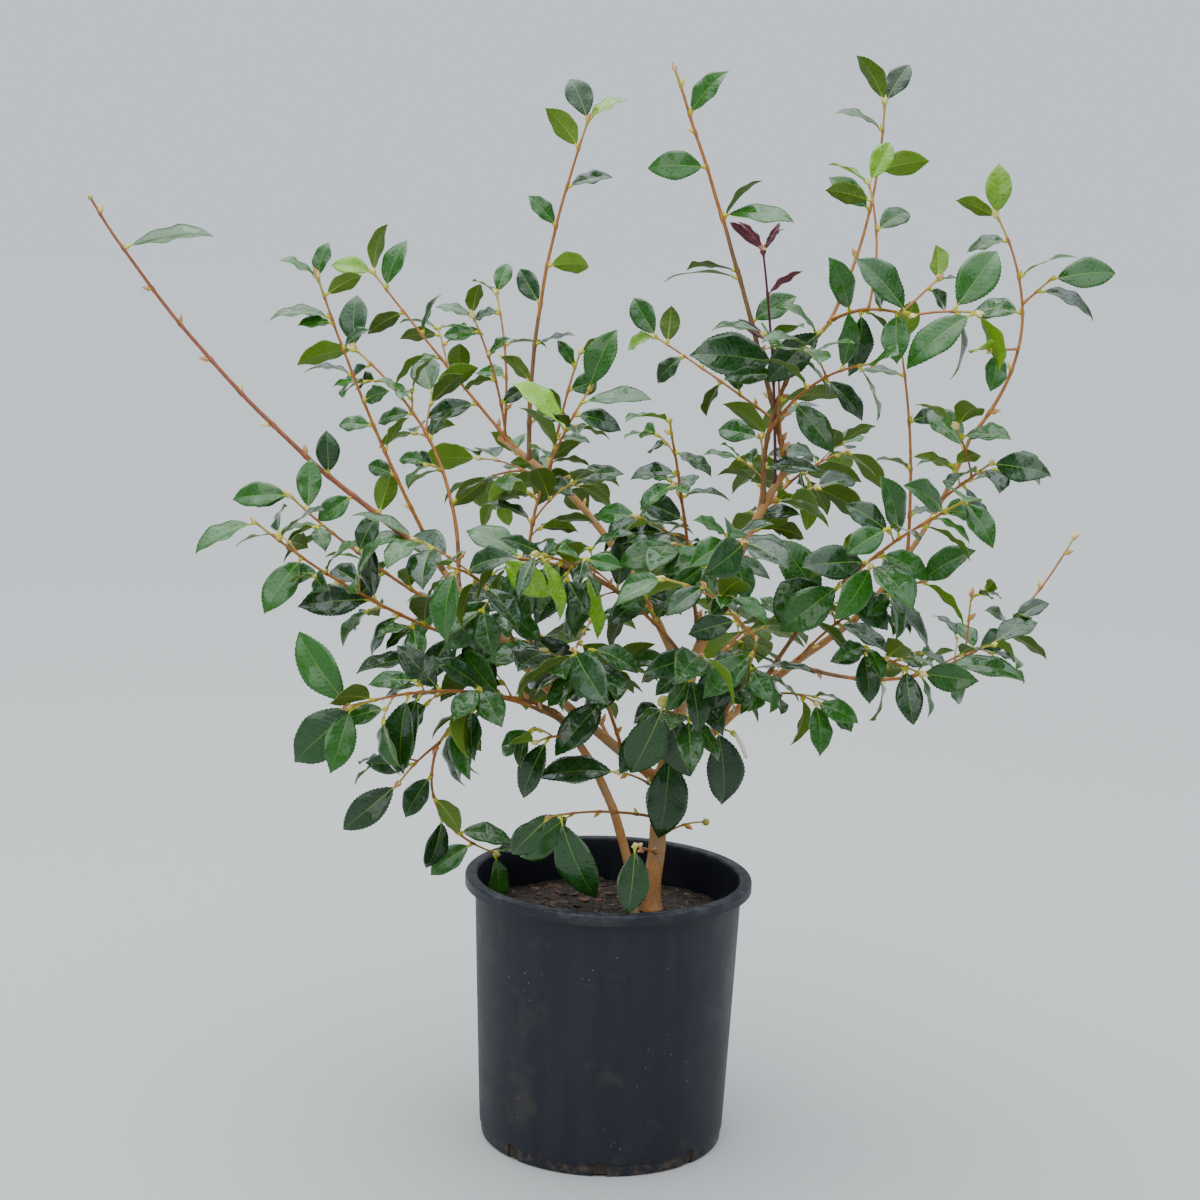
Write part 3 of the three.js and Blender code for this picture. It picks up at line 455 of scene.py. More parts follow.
# Moist compost is dark and dull. Bark chips are browner, and a few pale bits are wood fibre.
SOILS = {
    "moist compost": ("#33261c", "#1e1712", 0.85),
    "composted bark": ("#5a4030", "#36261b", 0.8),
    "red inner bark": ("#7a5138", "#4d3222", 0.75),
    "wood fibre": ("#a58e6d", "#7d6a50", 0.8),
}


def soil(name, light, dark, roughness):
    """Crumbly matter in two shades, mottled at about 3 mm."""
    material, tree = new_material(name, {"Roughness": roughness})
    place = add_node(tree, "TexCoord", output="Object")
    mottle = add_node(tree, "TexNoise", {"Vector": place, "Scale": 330, "Detail": 4})
    colour = lay_over(tree, linear(dark), light, mottle, 0.35, 0.65)
    bump = add_node(tree, "Bump", {"Height": mottle, "Strength": 0.6, "Distance": 0.001})
    link_shader(tree, {"Base Color": colour, "Normal": bump})
    return material


soils = [soil(name, *look) for name, look in SOILS.items()]
compost = add_object("compost_surface", compost_mesh, smooth=True)
compost_mesh.materials.append(soils[0])
compost_bits = add_object("compost_chips", chip_mesh)
for finish in soils:
    chip_mesh.materials.append(finish)
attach(compost, "root")
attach(compost_bits, "root")
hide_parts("compost")


# Stems and boughs: smooth tan camellia wood. Two stems rise from the compost, and the trunk
# forks at 150 mm into a leader and two boughs. They are one skin of bark, drawn out at each
# fork, with low rings where old leaves and twigs fell.
# A stem is name, x, y, turn, lift, length, arch, sway, thick, thin. turn is the compass angle
# from +X towards +Y, lift the angle above the horizontal, and arch and sway bow the middle.
STEMS = [
    ["trunk", 50, 5, 51, 85, 150, 0, 0, 21, 19],
    ["second_stem", 30, -25, 192, 68, 260, 22, -2, 12, 9],
]
# A bough is name, parent, place on the parent, and then the same columns from turn on.
BOUGHS = [
    ["leader", "trunk", 1, 19, 69, 390, 14, -8, 17, 9],
    ["left_bough", "trunk", 1, 185, 44, 370, -14, -1, 13, 8],
    ["right_bough", "trunk", 1, 340, 44, 300, 8, 4, 12, 8],
    ["right_arm", "right_bough", 1, 345, 61, 240, -12, -3, 7.5, 5],
    ["back_bough", "leader", 0.28, 150, 46, 380, 35, 2, 10, 7.5],
]
STEM_RINGS = [0, 0.05, 0.12, 0.25, 0.5, 0.75, 1]
ROOT_FLARE = 0.43
FLARE_HEIGHT = 14
TRUNK_SIDES = 10
BOUGH_SIDES = 8
BOUGH_STEP = 50
LENGTH_STEPS = 200
UP = Vector((0, 0, 1))
BACK = Vector((0, 1, 0))
limbs = {}


def direction(turn, lift):
    t, u = math.radians(turn), math.radians(lift)
    return Vector((math.cos(u) * math.cos(t), math.cos(u) * math.sin(t), math.sin(u)))


def across(along):
    """Two directions at right angles to a limb: its up and its side."""
    up = (UP - along * UP.dot(along)).normalized()
    return up, along.cross(up)


def curve_point(limb, share):
    rest = 1 - share
    return limb.start * rest * rest + limb.control * 2 * rest * share + limb.end * share * share


def curve_along(limb, share):
    return ((limb.control - limb.start) * (1 - share) + (limb.end - limb.control) * share).normalized()


def add_limb(name, start, aim, length, bow, diameters, sides, rings):
    """A limb whose centre line is one bow. bow is its arch and sway."""
    up, side = across(aim)
    control = start + aim * (length / 2) + up * (2 * bow[0]) + side * (2 * bow[1])
    limb = SimpleNamespace(name=name, start=start, control=control, end=start + aim * length)
    limb.thick, limb.thin = diameters
    limb.sides, limb.rings = sides, rings
    limb.parent, limb.at, limb.flare, limb.joints = None, 0, 0, []
    steps = [curve_point(limb, i / LENGTH_STEPS) for i in range(LENGTH_STEPS + 1)]
    limb.length = sum((b - a).length for a, b in zip(steps, steps[1:]))
    limbs[name] = limb
    return limb


def radius_at(limb, share):
    flare = limb.flare * limb.thick * math.exp(-share * limb.length / FLARE_HEIGHT)
    return (mix(limb.thick, limb.thin, share) + flare) / 2


def point_on(limb, share):
    """A point on the centre line of the solid limb, which runs straight from ring to ring."""
    after = max(1, next(i for i, ring in enumerate(limb.rings) if ring >= share))
    a, b = limb.rings[after - 1], limb.rings[after]
    return curve_point(limb, a).lerp(curve_point(limb, b), (share - a) / (b - a))


def add_branch(row, sides, step):
    """A bough or shoot from its row, with rings about a step apart."""
    name, parent, at, turn, lift, length, arch, sway, thick, thin = row
    count = max(2, math.floor(length / step + 0.5))
    rings = [i / count for i in range(count + 1)]
    start = point_on(limbs[parent], at)
    limb = add_limb(name, start, direction(turn, lift), length, (arch, sway), (thick, thin), sides, rings)
    limb.parent, limb.at = parent, at


for name, x, y, turn, lift, length, arch, sway, *diameters in STEMS:
    foot = Vector((x, y, COMPOST_TOP + GAP))
    aim = direction(turn, lift)
    stem = add_limb(name, foot, aim, length, (arch, sway), diameters, TRUNK_SIDES, STEM_RINGS)
    stem.flare = ROOT_FLARE
for row in BOUGHS:
    add_branch(row, BOUGH_SIDES, BOUGH_STEP)

# What shows is rounder than the solids: the centre line is the smooth bow, with slight kinks.
KINK_LENGTH = 45
KINK_SHARE = 0.16
WOOD_SIDES = 20
SWEEP_STEP = 2.2
BARK_VOXEL = 0.00125
BARK_SMOOTHING = 5
# A fork widens the foot of a bough by FORK_FLARE, over FORK_REACH times its thickness.
FORK_FLARE = 0.35
FORK_REACH = 0.9
# Old leaf scars: the distance between them, their height and their width.
SCAR_GAP = (22, 48)
SCAR_HEIGHT = 0.45
SCAR_WIDTH = 1.6
UNEVEN_SHARE = 0.04
UNEVEN_LENGTH = 26
# Relief of the bark: furrows along the grain, and wide low lumps.
FURROW = 0.64
FURROW_SIZE = (2.6, 2.6, 15)
LUMP = 0.25
LUMP_SIZE = 7
FULL_RELIEF_RADIUS = 8
GRAIN_STEP = 2
# The noise starts from the clock unless it has a seed. With this one the kinks are the same
# each run.
KINK_SEED = 1795670745
WOOD_SEED = 7000


def drawn_point(limb, share):
    """A point on the centre line that is drawn, which starts on its parent's drawn line."""
    if not hasattr(limb, "shift"):
        limb.shift = Vector((0, 0, 0))
        limb.key = sum(ord(letter) * (i + 1) for i, letter in enumerate(limb.name)) % 997
        if limb.parent:
            limb.shift = drawn_point(limbs[limb.parent], limb.at) - limb.start
    kink = noise.noise_vector(Vector((limb.key, share * limb.length / KINK_LENGTH, 0.5)))
    still = noise.noise_vector(Vector((limb.key, 0, 0.5)))
    size = KINK_SHARE * limb.thick
    return curve_point(limb, share) + limb.shift + (kink - still) * size


def round_about(first, second, sides):
    """The angles and directions of points round a circle, from first towards second."""
    angles = [2 * math.pi * k / sides for k in range(sides)]
    return [(angle, first * math.cos(angle) + second * math.sin(angle)) for angle in angles]


def ring_faces(rings, sides, inward=False):
    """Four-sided faces from each ring of corners to the next."""
    faces = []
    for ring in range(rings):
        for k in range(sides):
            a, b = ring * sides + k, ring * sides + (k + 1) % sides
            faces.append((a, a + sides, b + sides, b) if inward else (a, b, b + sides, a + sides))
    return faces


def end_faces(rings, sides):
    """The two faces that close the ends of a tube."""
    return [tuple(reversed(range(sides))), tuple(range(rings * sides, (rings + 1) * sides))]


def sweep(limb, step, sides, radius):
    """A closed round tube along a limb's drawn line: corners, faces and the share of each ring."""
    count = max(3, round(limb.length / step))
    shares = [i / count for i in range(count + 1)]
    points = [drawn_point(limb, share) for share in shares]
    corners = []
    up, _ = across((points[1] - points[0]).normalized())
    for i, share in enumerate(shares):
        along = (points[min(i + 1, count)] - points[max(i - 1, 0)]).normalized()
        up = (up - along * up.dot(along)).normalized()
        ring = round_about(up, along.cross(up), sides)
        corners += [points[i] + out * radius(share, angle) for angle, out in ring]
    return corners, ring_faces(count, sides) + end_faces(count, sides), shares


def bough_radius(limb, scars):
    """The radius of a bough that flares at its fork and swells at old leaf scars."""
    reach = FORK_REACH * limb.thick

    def radius(share, angle):
        travel = share * limb.length
        fork = FORK_FLARE * math.exp(-travel / reach) if limb.parent else 0
        swell = sum(SCAR_HEIGHT * math.exp(-(((travel - scar) / SCAR_WIDTH) ** 2)) for scar in scars)
        spot = Vector((limb.key, travel / UNEVEN_LENGTH, 2 * math.cos(angle)))
        return radius_at(limb, share) * (1 + fork + UNEVEN_SHARE * noise.noise(spot)) + swell

    return radius


noise.seed_set(KINK_SEED)
wood = bmesh.new()
bough_names = [row[0] for row in STEMS + BOUGHS]
for name in bough_names:
    limb = limbs[name]
    drawn_point(limb, 0)
    random = seeded(WOOD_SEED + limb.key)
    scars = []
    travel = within(SCAR_GAP, random)
    while travel < limb.length:
        scars.append(travel)
        travel += within(SCAR_GAP, random)
    corners, faces, _ = sweep(limb, SWEEP_STEP, WOOD_SIDES, bough_radius(limb, scars))
    made = [wood.verts.new(corner * MM) for corner in corners]
    for face in faces:
        wood.faces.new([made[i] for i in face])
wood_mesh = bpy.data.meshes.new("bark")
wood.to_mesh(wood_mesh)
wood.free()
bark = add_object("bark", wood_mesh, smooth=True)
apply_modifier(bark, "REMESH", mode="VOXEL", voxel_size=BARK_VOXEL)
wood_mesh = bark.data
wood = bmesh.new()
wood.from_mesh(wood_mesh)
axes = {"use_axis_x": True, "use_axis_y": True, "use_axis_z": True}
for _ in range(BARK_SMOOTHING):
    bmesh.ops.smooth_vert(wood, verts=wood.verts, factor=0.5, **axes)
wood.normal_update()

# The grain runs along each limb. It is kept on every vertex, in millimetres, for the relief
# and for the bark's colour.
stations = []
for limb in (limbs[name] for name in bough_names):
    count = int(limb.length / GRAIN_STEP) + 1
    stations += [(limb, min(1, GRAIN_STEP * i / limb.length)) for i in range(count)]
nearest = KDTree(len(stations))
for i, (limb, share) in enumerate(stations):
    nearest.insert(drawn_point(limb, share), i)
nearest.balance()
grain = []
for vertex in wood.verts:
    spot = vertex.co / MM
    limb, share = stations[nearest.find(spot)[1]]
    up, side = across(curve_along(limb, share))
    out = spot - drawn_point(limb, share)
    place = Vector((out.dot(up) + limb.key, out.dot(side), share * limb.length))
    grain.append(place)
    cell = Vector([place[i] / FURROW_SIZE[i] for i in range(3)])
    furrow = min(0, noise.noise(cell) + 0.05)
    lump = noise.noise(place / LUMP_SIZE)
    size = min(1, radius_at(limb, share) / FULL_RELIEF_RADIUS)
    vertex.co += vertex.normal * ((FURROW * furrow + LUMP * lump) * size * MM)
wood.to_mesh(wood_mesh)
wood.free()
grain_values = wood_mesh.attributes.new("grain", "FLOAT_VECTOR", "POINT").data
grain_values.foreach_set("vector", np.array(grain, np.float32).ravel())
wood_mesh.shade_smooth()

# Camellia bark: thin, smooth and dry, warm tan where it is rubbed and grey-brown where it
# has weathered, with fine furrows along the grain and small pale breathing pores. Its
# patterns are laid out in the grain's millimetres.
BARK_TAN = "#b98752"
BARK_BROWN = "#a5743f"
BARK_GREY = "#9a8872"
BARK_FURROW = "#6a4b34"
BARK_PORE = "#c9ad88"

bark_finish, tree = new_material("smooth camellia bark", {"Roughness": 0.72, "Specular IOR Level": 0.35})
place = add_node(tree, "Attribute", output="Vector", attribute_name="grain")
# Tan and brown in patches of 3 by 17 mm, and grey in patches of 22 mm.
along_grain = add_node(tree, "Mapping", {"Vector": place, "Scale": (0.3, 0.3, 0.06)})
wide = add_node(tree, "TexNoise", {"Vector": along_grain, "Scale": 1, "Detail": 5})
colour = lay_over(tree, linear(BARK_BROWN), BARK_TAN, wide, 0.36, 0.64)
weather = add_node(tree, "TexNoise", {"Vector": place, "Scale": 0.045, "Detail": 3})
colour = lay_over(tree, colour, BARK_GREY, weather, 0.5, 0.66, 0.75)
# Furrows are 1 mm wide and 9 mm long, and pores are about 4.5 mm apart.
fine = add_node(tree, "Mapping", {"Vector": place, "Scale": (0.9, 0.9, 0.11)})
fibre = add_node(tree, "TexNoise", {"Vector": fine, "Scale": 1, "Detail": 4})
colour = lay_over(tree, colour, BARK_FURROW, fibre, 0.42, 0.32, 0.6)
pore = add_node(tree, "TexVoronoi", {"Vector": place, "Scale": 0.22})
colour = lay_over(tree, colour, BARK_PORE, pore, 0.16, 0.08, 0.7)
bump = add_node(tree, "Bump", {"Height": fibre, "Strength": 0.45, "Distance": 0.0005})
link_shader(tree, {"Base Color": colour, "Normal": bump})
wood_mesh.materials.clear()
wood_mesh.materials.append(bark_finish)
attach(bark, "root")
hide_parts(*bough_names)


# Shoots: the leafy wood of the last years, 2 to 7 mm thick. Each grows from a bough or from
# another shoot and bears side twigs and leaves, which keep clear of all that stands before them.
# A shoot is a bough's columns, and then its habit: where leaves begin and end, the distance
# between them, their length, droop, the leaves in the tip's tuft, its side twigs, and its
# rows: 1 or -1 where leaves lie in two rows that face the front, the first on the shoot's
# right or left, and 0 where they stand all round it.
SHOOTS = [
    ["left_whip", "left_bough", 1, 173, 44, 555, -30, -2, 7, 3, 0.04, 0.3, 38, 60, 0.1, 0, 0, -1],
    ["left_spray", "left_bough", 0.95, 212, 64, 364, -7, 3, 5, 2.4, 0.3, 0.98, 31, 47, 0.1, 2, 0, -1],
    ["left_back_spray", "left_bough", 0.88, 144, 58, 305, 32, 20, 5, 2.4, 0.25, 0.98, 38, 60, 0.15, 2, 1, 1],
    ["left_low_spray", "left_bough", 0.69, 194, 34, 285, -12, 6, 5, 2.4, 0.2, 0.97, 36, 56, 0.2, 1, 1, -1],
    ["left_front_spray", "left_bough", 0.59, 208, 28, 360, -17, 8, 5, 2.4, 0.2, 0.95, 36, 68, 0.3, 1, 1, -1],
    ["hanging_spray", "second_stem", 1, 195, -14, 140, 36, -1, 5, 3.4, 0.25, 1, 46, 78, 0.7, 0, 0, 0],
    ["hanging_tip", "hanging_spray", 1, 52, -54, 175, -24, -22, 3.4, 2.2, 0.1, 0.97, 36, 60, 0.4, 1, 0, 1],
    ["hanging_side", "hanging_spray", 0.97, 221, -35, 66, 3, 0, 3, 2.2, 0.3, 0.9, 34, 62, 0.5, 0, 0, 1],
    ["outer_left_spray", "second_stem", 0.96, 215, 9, 275, 25, -3, 5, 2.6, 0.25, 0.97, 38, 80, 0.4, 1, 1, 1],
    ["centre_left_spray", "left_bough", 0.5, 51, 77, 335, 23, -30, 5, 2.4, 0.2, 0.97, 42, 66, 0.2, 1, 1, -1],
    ["centre_spray", "leader", 0.42, 253, 59, 320, 20, 5, 5, 2.4, 0.15, 0.9, 36, 58, 0.3, 1, 1, 1],
    ["centre_front_spray", "leader", 0.34, 223, 28, 331, 34, -1, 5, 2.4, 0.2, 0.97, 40, 70, 0.5, 1, 1, 1],
    ["centre_front_tip", "centre_front_spray", 0.45, 240, 20, 195, 7, 0, 3, 2.2,
     0.3, 0.97, 34, 66, 0.6, 1, 1, -1],
    ["leader_side_spray", "leader", 0.6, 58, 66, 185, -6, 17, 4, 2.2, 0.4, 0.97, 38, 58, 0.2, 2, 0, 1],
    ["leader_top_spur", "leader", 0.98, 256, 65, 145, 4, 2, 3.4, 2.4, 0.3, 0.98, 34, 72, 0.25, 1, 0, -1],
    ["leader_whip", "leader", 1, 196, 71, 465, 5, -6, 7, 3, 0.05, 0.95, 62, 60, 0.1, 0, 0, 1],
    ["leader_back_spray", "leader_whip", 0.12, 140, 25, 200, 4, -7, 3.4, 2.2,
     0.2, 0.97, 34, 54, 0.15, 2, 0, 1],
    ["red_shoot", "leader", 0.94, 252, 69, 290, 12, -1, 4, 2.4, 0.5, 0.9, 58, 46, -0.1, 4, 0, -1],
    ["top_right_spray", "leader", 0.88, 312, 67, 235, 26, 10, 6, 4, 0.1, 0.97, 38, 64, 0.3, 1, 1, 1],
    ["top_right_end", "top_right_spray", 1, 303, 5, 130, 9, 3, 4, 2.8, 0.15, 0.95, 30, 62, 0.4, 2, 0, -1],
    ["top_right_tip", "top_right_end", 1, 348, 5, 70, 3, 0, 2.8, 2.2, 0.3, 1, 36, 72, 0.5, 1, 0, -1],
    ["top_right_whip", "top_right_spray", 0.97, 50, 70, 260, -16, 5, 4, 2.4,
     0.45, 0.97, 40, 60, 0.05, 2, 0, -1],
    ["top_right_side", "top_right_end", 0.5, 94, 75, 140, -1, 9, 3, 2.2, 0.5, 0.97, 32, 58, 0.1, 2, 0, 1],
    ["top_right_fork", "top_right_end", 0.9, 48, 29, 75, 0, 0, 3, 2.2, 0.5, 0.97, 34, 42, 0.1, 2, 0, 1],
    ["top_right_low", "top_right_spray", 0.35, 297, 24, 225, 18, 1, 4, 2.4, 0.2, 0.97, 36, 66, 0.3, 1, 1, 1],
    ["right_whip", "right_arm", 1, 55, 82, 240, -23, 34, 4.4, 2.4, 0.5, 0.97, 42, 60, 0.15, 2, 0, -1],
    ["right_whip_side", "right_whip", 0.62, 21, 39, 45, 0, 0, 3, 2.2, 0.1, 0.9, 28, 66, 0.1, 0, 0, 1],
    ["right_whip_spur", "right_whip", 0.42, 229, 0, 55, 0, 0, 3, 2.2, 0.5, 0.95, 30, 54, 0.5, 1, 0, -1],
    ["right_front_spray", "right_bough", 0.55, 308, 40, 390, 21, 11, 5.4, 2.6,
     0.2, 0.97, 33, 68, 0.35, 2, 1, -1],
    ["right_upright", "right_arm", 0.39, 151, 85, 234, 6, 3, 4, 2.2, 0.08, 0.95, 52, 44, 0.1, 1, 0, 1],
    ["right_arm_spray", "right_arm", 0.7, 291, 27, 110, 0, 0, 3.6, 2.2, 0.25, 0.95, 34, 62, 0.3, 1, 1, 1],
    ["right_low_spray", "right_bough", 0.72, 29, 18, 410, -80, 4, 5, 2.2, 0.2, 0.74, 46, 64, 0.3, 0, 1, 1],
    ["right_low_spur", "right_low_spray", 0.54, 75, 66, 75, 0, 0, 3, 2, 0.9, 0.9, 24, 40, 0.1, 0, 0, 0],
    ["right_low_front", "right_bough", 0.9, 314, -9, 130, 0, 0, 3.6, 2.2, 0.25, 0.95, 32, 60, 0.4, 2, 0, 1],
    ["right_inner_twig", "right_bough", 0.42, 308, 15, 135, 14, -9, 3.6, 2.2,
     0.35, 0.95, 36, 62, 0.6, 2, 0, -1],
    ["low_left_twig", "trunk", 0.72, 227, 10, 185, 6, 4, 3.6, 2.2, 0.6, 0.95, 44, 80, 0.9, 0, 0, 0],
    ["low_centre_twig", "trunk", 0.93, 240, 23, 106, 4, 2, 3.2, 2.2, 0.5, 0.9, 40, 76, 0.8, 0, 0, 0],
    ["low_front_twig", "trunk", 0.45, 260, 18, 170, 0, 0, 3.4, 2.2, 0.9, 0.95, 40, 84, 1.4, 0, 0, 0],
    ["low_right_twig", "trunk", 0.55, 27, 14, 65, 5, -4, 3, 2, 0.4, 0.5, 40, 34, 0.2, 0, 0, 0],
    ["front_twig", "leader", 0.08, 266, 30, 205, 1, -7, 3.6, 2.4, 0.55, 0.9, 60, 84, 1, 0, 0, 0],
    ["front_right_spray", "right_bough", 0.3, 281, 39, 225, 6, -11, 4.4, 3,
     0.3, 0.95, 52, 80, 0.6, 0, 0, -1],
    ["front_right_tip", "front_right_spray", 1, 233, 34, 120, 0, 0, 3, 2.2,
     0.15, 0.95, 40, 60, 0.4, 1, 1, -1],
    ["back_leader", "back_bough", 0.88, 339, 81, 400, 17, 7, 6, 2.6, 0.05, 0.97, 44, 56, 0.1, 2, 0, 1],
    ["back_left_spray", "back_bough", 0.93, 162, 47, 275, -2, 1, 4.4, 2.4,
     0.2, 0.97, 38, 56, 0.15, 2, 1, -1],
    ["back_twig_a", "back_bough", 0.97, 225, 69, 160, 5, -4, 3.6, 2.2, 0.2, 0.97, 34, 46, 0.1, 2, 0, 1],
    ["back_twig_b", "back_bough", 0.98, 105, 71, 180, 10, 5, 3.6, 2.2, 0.3, 0.97, 36, 48, 0.1, 2, 0, -1],
    ["back_centre_spray", "back_bough", 0.8, 33, 75, 148, 6, 4, 4, 2.2, 0.2, 0.97, 32, 46, 0.1, 1, 0, 1],
    ["back_mid_spray", "leader", 0.45, 105, 17, 315, 25, 0, 4.6, 2.4, 0.2, 0.97, 40, 70, 0.4, 3, 2, 0],
    ["back_right_spray", "leader", 0.6, 60, 22, 355, 25, -15, 5, 2.4, 0.2, 0.97, 40, 68, 0.35, 3, 2, 0],
    ["back_far_left", "back_bough", 0.6, 119, 2, 300, 30, 10, 4.6, 2.4, 0.2, 0.97, 40, 66, 0.4, 3, 2, 0],
    ["back_low_spray", "leader", 0.15, 66, 16, 315, 30, 0, 4.6, 2.4, 0.25, 0.97, 42, 74, 0.5, 3, 1, 0],
    ["back_low_left", "left_bough", 0.2, 112, 11, 320, 30, 0, 4.6, 2.4, 0.25, 0.97, 42, 74, 0.5, 3, 1, 0],
    ["front_mid_spray", "left_bough", 0.15, 254, 37, 262, 24, 6, 4.6, 2.4, 0.3, 0.97, 38, 74, 0.6, 1, 1, -1],
    ["front_low_spray", "leader", 0.2, 274, 28, 245, 18, 5, 4.4, 2.4, 0.35, 0.97, 40, 74, 0.6, 2, 0, 1],
    ["low_mid_spray", "second_stem", 0.86, 244, 9, 98, 5, 0, 3.4, 2.2, 0.45, 0.95, 34, 68, 0.9, 1, 0, -1],
    ["right_mid_spray", "right_bough", 0.72, 316, 34, 208, 14, 0, 3.6, 2.2,
     0.3, 0.95, 38, 66, 0.45, 2, 0, 1],
    ["front_left_spray", "left_bough", 0.6, 256, 28, 300, 25, 0, 4.4, 2.4,
     0.15, 0.97, 36, 70, 0.5, 1, 1, -1],
    ["front_high_spray", "leader", 0.5, 273, 24, 330, 30, 10, 4.4, 2.4, 0.25, 0.97, 38, 70, 0.45, 3, 1, 0],
]

# Single leaves that stand out: shoot, place on it, way, length, the side that is shown, and
# skin. They take their places first. A way is a turn and a lift, and what is shown is set by
# how far the blade is rolled away from the front.
WAYS = {
    "left": [190, 5],
    "right": [350, 10],
    "high left": [185, 50],
    "high right": [355, 50],
    "low left": [195, -40],
    "low right": [345, -40],
    "hanging left": [210, -70],
    "hanging right": [330, -70],
    "hanging": [270, -75],
}
SHOWN = {"face": -20, "slant": 15, "edge": 40, "under": 100}
LONE_LEAVES = [
    ["front_twig", 0.97, "hanging left", 85, "face", "old"],
    ["front_twig", 0.9, "hanging right", 80, "face", "old"],
    ["front_twig", 0.12, "hanging", 100, "face", "old"],
    ["low_centre_twig", 1, "left", 90, "slant", "old"],
    ["low_left_twig", 0.9, "hanging right", 100, "face", "old"],
    ["low_left_twig", 1, "low left", 60, "face", "old"],
    ["low_front_twig", 1, "hanging", 75, "face", "old"],
    ["front_right_spray", 0.8, "low left", 85, "face", "old"],
    ["front_right_spray", 0.05, "hanging right", 90, "slant", "old"],
    ["right_front_spray", 0.5, "low left", 80, "face", "grown"],
    ["right_front_spray", 0.4, "high left", 85, "face", "grown"],
    ["front_left_spray", 0.1, "low left", 105, "under", "grown"],
    ["centre_left_spray", 0.15, "low right", 75, "face", "old"],
    ["centre_front_tip", 0.95, "hanging right", 70, "edge", "young"],
    ["centre_front_tip", 0.45, "hanging right", 75, "edge", "young"],
    ["centre_front_spray", 1, "low right", 65, "face", "young"],
    ["outer_left_spray", 1, "high left", 95, "face", "grown"],
    ["outer_left_spray", 0.96, "low left", 95, "face", "old"],
    ["outer_left_spray", 0.7, "hanging left", 85, "slant", "old"],
    ["hanging_side", 1, "low left", 80, "face", "old"],
    ["hanging_tip", 0.85, "low left", 60, "slant", "grown"],
    ["hanging_tip", 1, "hanging right", 65, "slant", "grown"],
    ["left_whip", 0.05, "left", 80, "slant", "grown"],
    ["left_whip", 0.88, "right", 100, "slant", "grown"],
    ["left_low_spray", 1, "left", 65, "face", "grown"],
    ["left_front_spray", 0.54, "left", 80, "face", "old"],
    ["left_back_spray", 0.3, "high right", 70, "edge", "old"],
    ["left_spray", 0.87, "left", 65, "slant", "grown"],
    ["centre_left_spray", 0.85, "high left", 80, "slant", "young"],
    ["centre_left_spray", 0.95, "right", 80, "slant", "grown"],
    ["leader_whip", 0.48, "left", 85, "edge", "old"],
    ["leader_whip", 0.64, "right", 80, "slant", "grown"],
    ["leader_top_spur", 0.98, "left", 100, "face", "old"],
    ["top_right_spray", 0.94, "low left", 85, "face", "old"],
    ["top_right_end", 0.97, "high left", 80, "slant", "grown"],
    ["top_right_end", 0.4, "hanging", 70, "face", "old"],
    ["top_right_tip", 0.97, "low left", 90, "slant", "grown"],
    ["top_right_tip", 0.7, "hanging right", 70, "edge", "old"],
    ["right_arm_spray", 0.5, "right", 90, "edge", "grown"],
    ["right_low_spray", 0.46, "right", 95, "slant", "grown"],
    ["right_whip_side", 0.94, "right", 70, "face", "grown"],
]

# How leaves and side twigs stand, as in the part's source. Pairs are the least and the most
# that the seeded rule draws. Angles are in degrees.
LEAF_CLEARANCE = 1.2
LEAF_OUTLINE = [[0.3, 0.46], [0.66, 0.42]]
LEAF_MIDDLE = 0.48
LEAF_STALK = 0.12
LEAF_THICKNESS = 1.5
LEAF_SIZE = [0.8, 1.15]
LEAF_WIDTH = [0.42, 0.54]
SLIM_LEAVES = {"red_shoot": 0.42, "centre_front_tip": 0.6}
LEAF_CURL = [0.08, 0.24]
LEAF_FOLD = [0.05, 0.35]
LEAF_DROOP = [0.6, 1.4]
LEAF_ROLL = [-38, 38]
LEAF_SPREAD = [45, 72]
TUFT_SPREAD = [25, 50]
LEAF_TURN = [-40, 40]
SPIRAL_TURN = 137.5
ROW_TILT = 15
STEEP = 0.75
# An upper face turns up, and leans along its shoot and to the front or out of the crown. In
# rows that face the front, every third leaf leans to the back instead.
LEAN_ALONG = 0.4
LEAN_OUT = 0.5
LEAN_FRONT = 1
BACK_EVERY = 3
WAY_SCATTER = [-10, 10]
ROOT_SINK = 0.1
TUFT_START = 0.995
TUFT_GAP = 1.2
LEAF_TRIES = 8
TWIG_SIDES = 3
SHOOT_STEP = 90
TWIG_PLACES = [0.3, 0.75]
TWIG_PLACE_SHIFT = [0.2, 0.8]
TWIG_TURN = [-30, 60]
TWIG_SPREAD = math.radians(45)
TWIG_LENGTH = 75
TWIG_SIZE = [0.8, 1.2]
TWIG_ARCH = 4
TWIG_DIAMETER = 2.4
TWIG_TAPER = 0.8
TWIG_RINGS = [0, 0.5, 1]
TWIG_HABIT = {"first": 0.35, "last": 0.9, "gap": 26, "tuft": 2, "rows": 0}
SEEDS_A_TWIG = 1000
SEEDS_A_SHOOT = 100
TRIES_A_SEED = 10
TWIG_SEED = 200
TWIG_SEED_STEP = 60
LONE_SEED = 90000
TURNED_SIDES = 32
leaves = []
taken = []


def shape_of(corners, faces):
    """A closed shape that can be tested for touching, with its box."""
    low = [min(corner[i] for corner in corners) for i in range(3)]
    high = [max(corner[i] for corner in corners) for i in range(3)]
    return SimpleNamespace(tree=BVHTree.FromPolygons(corners, faces), low=low, high=high)


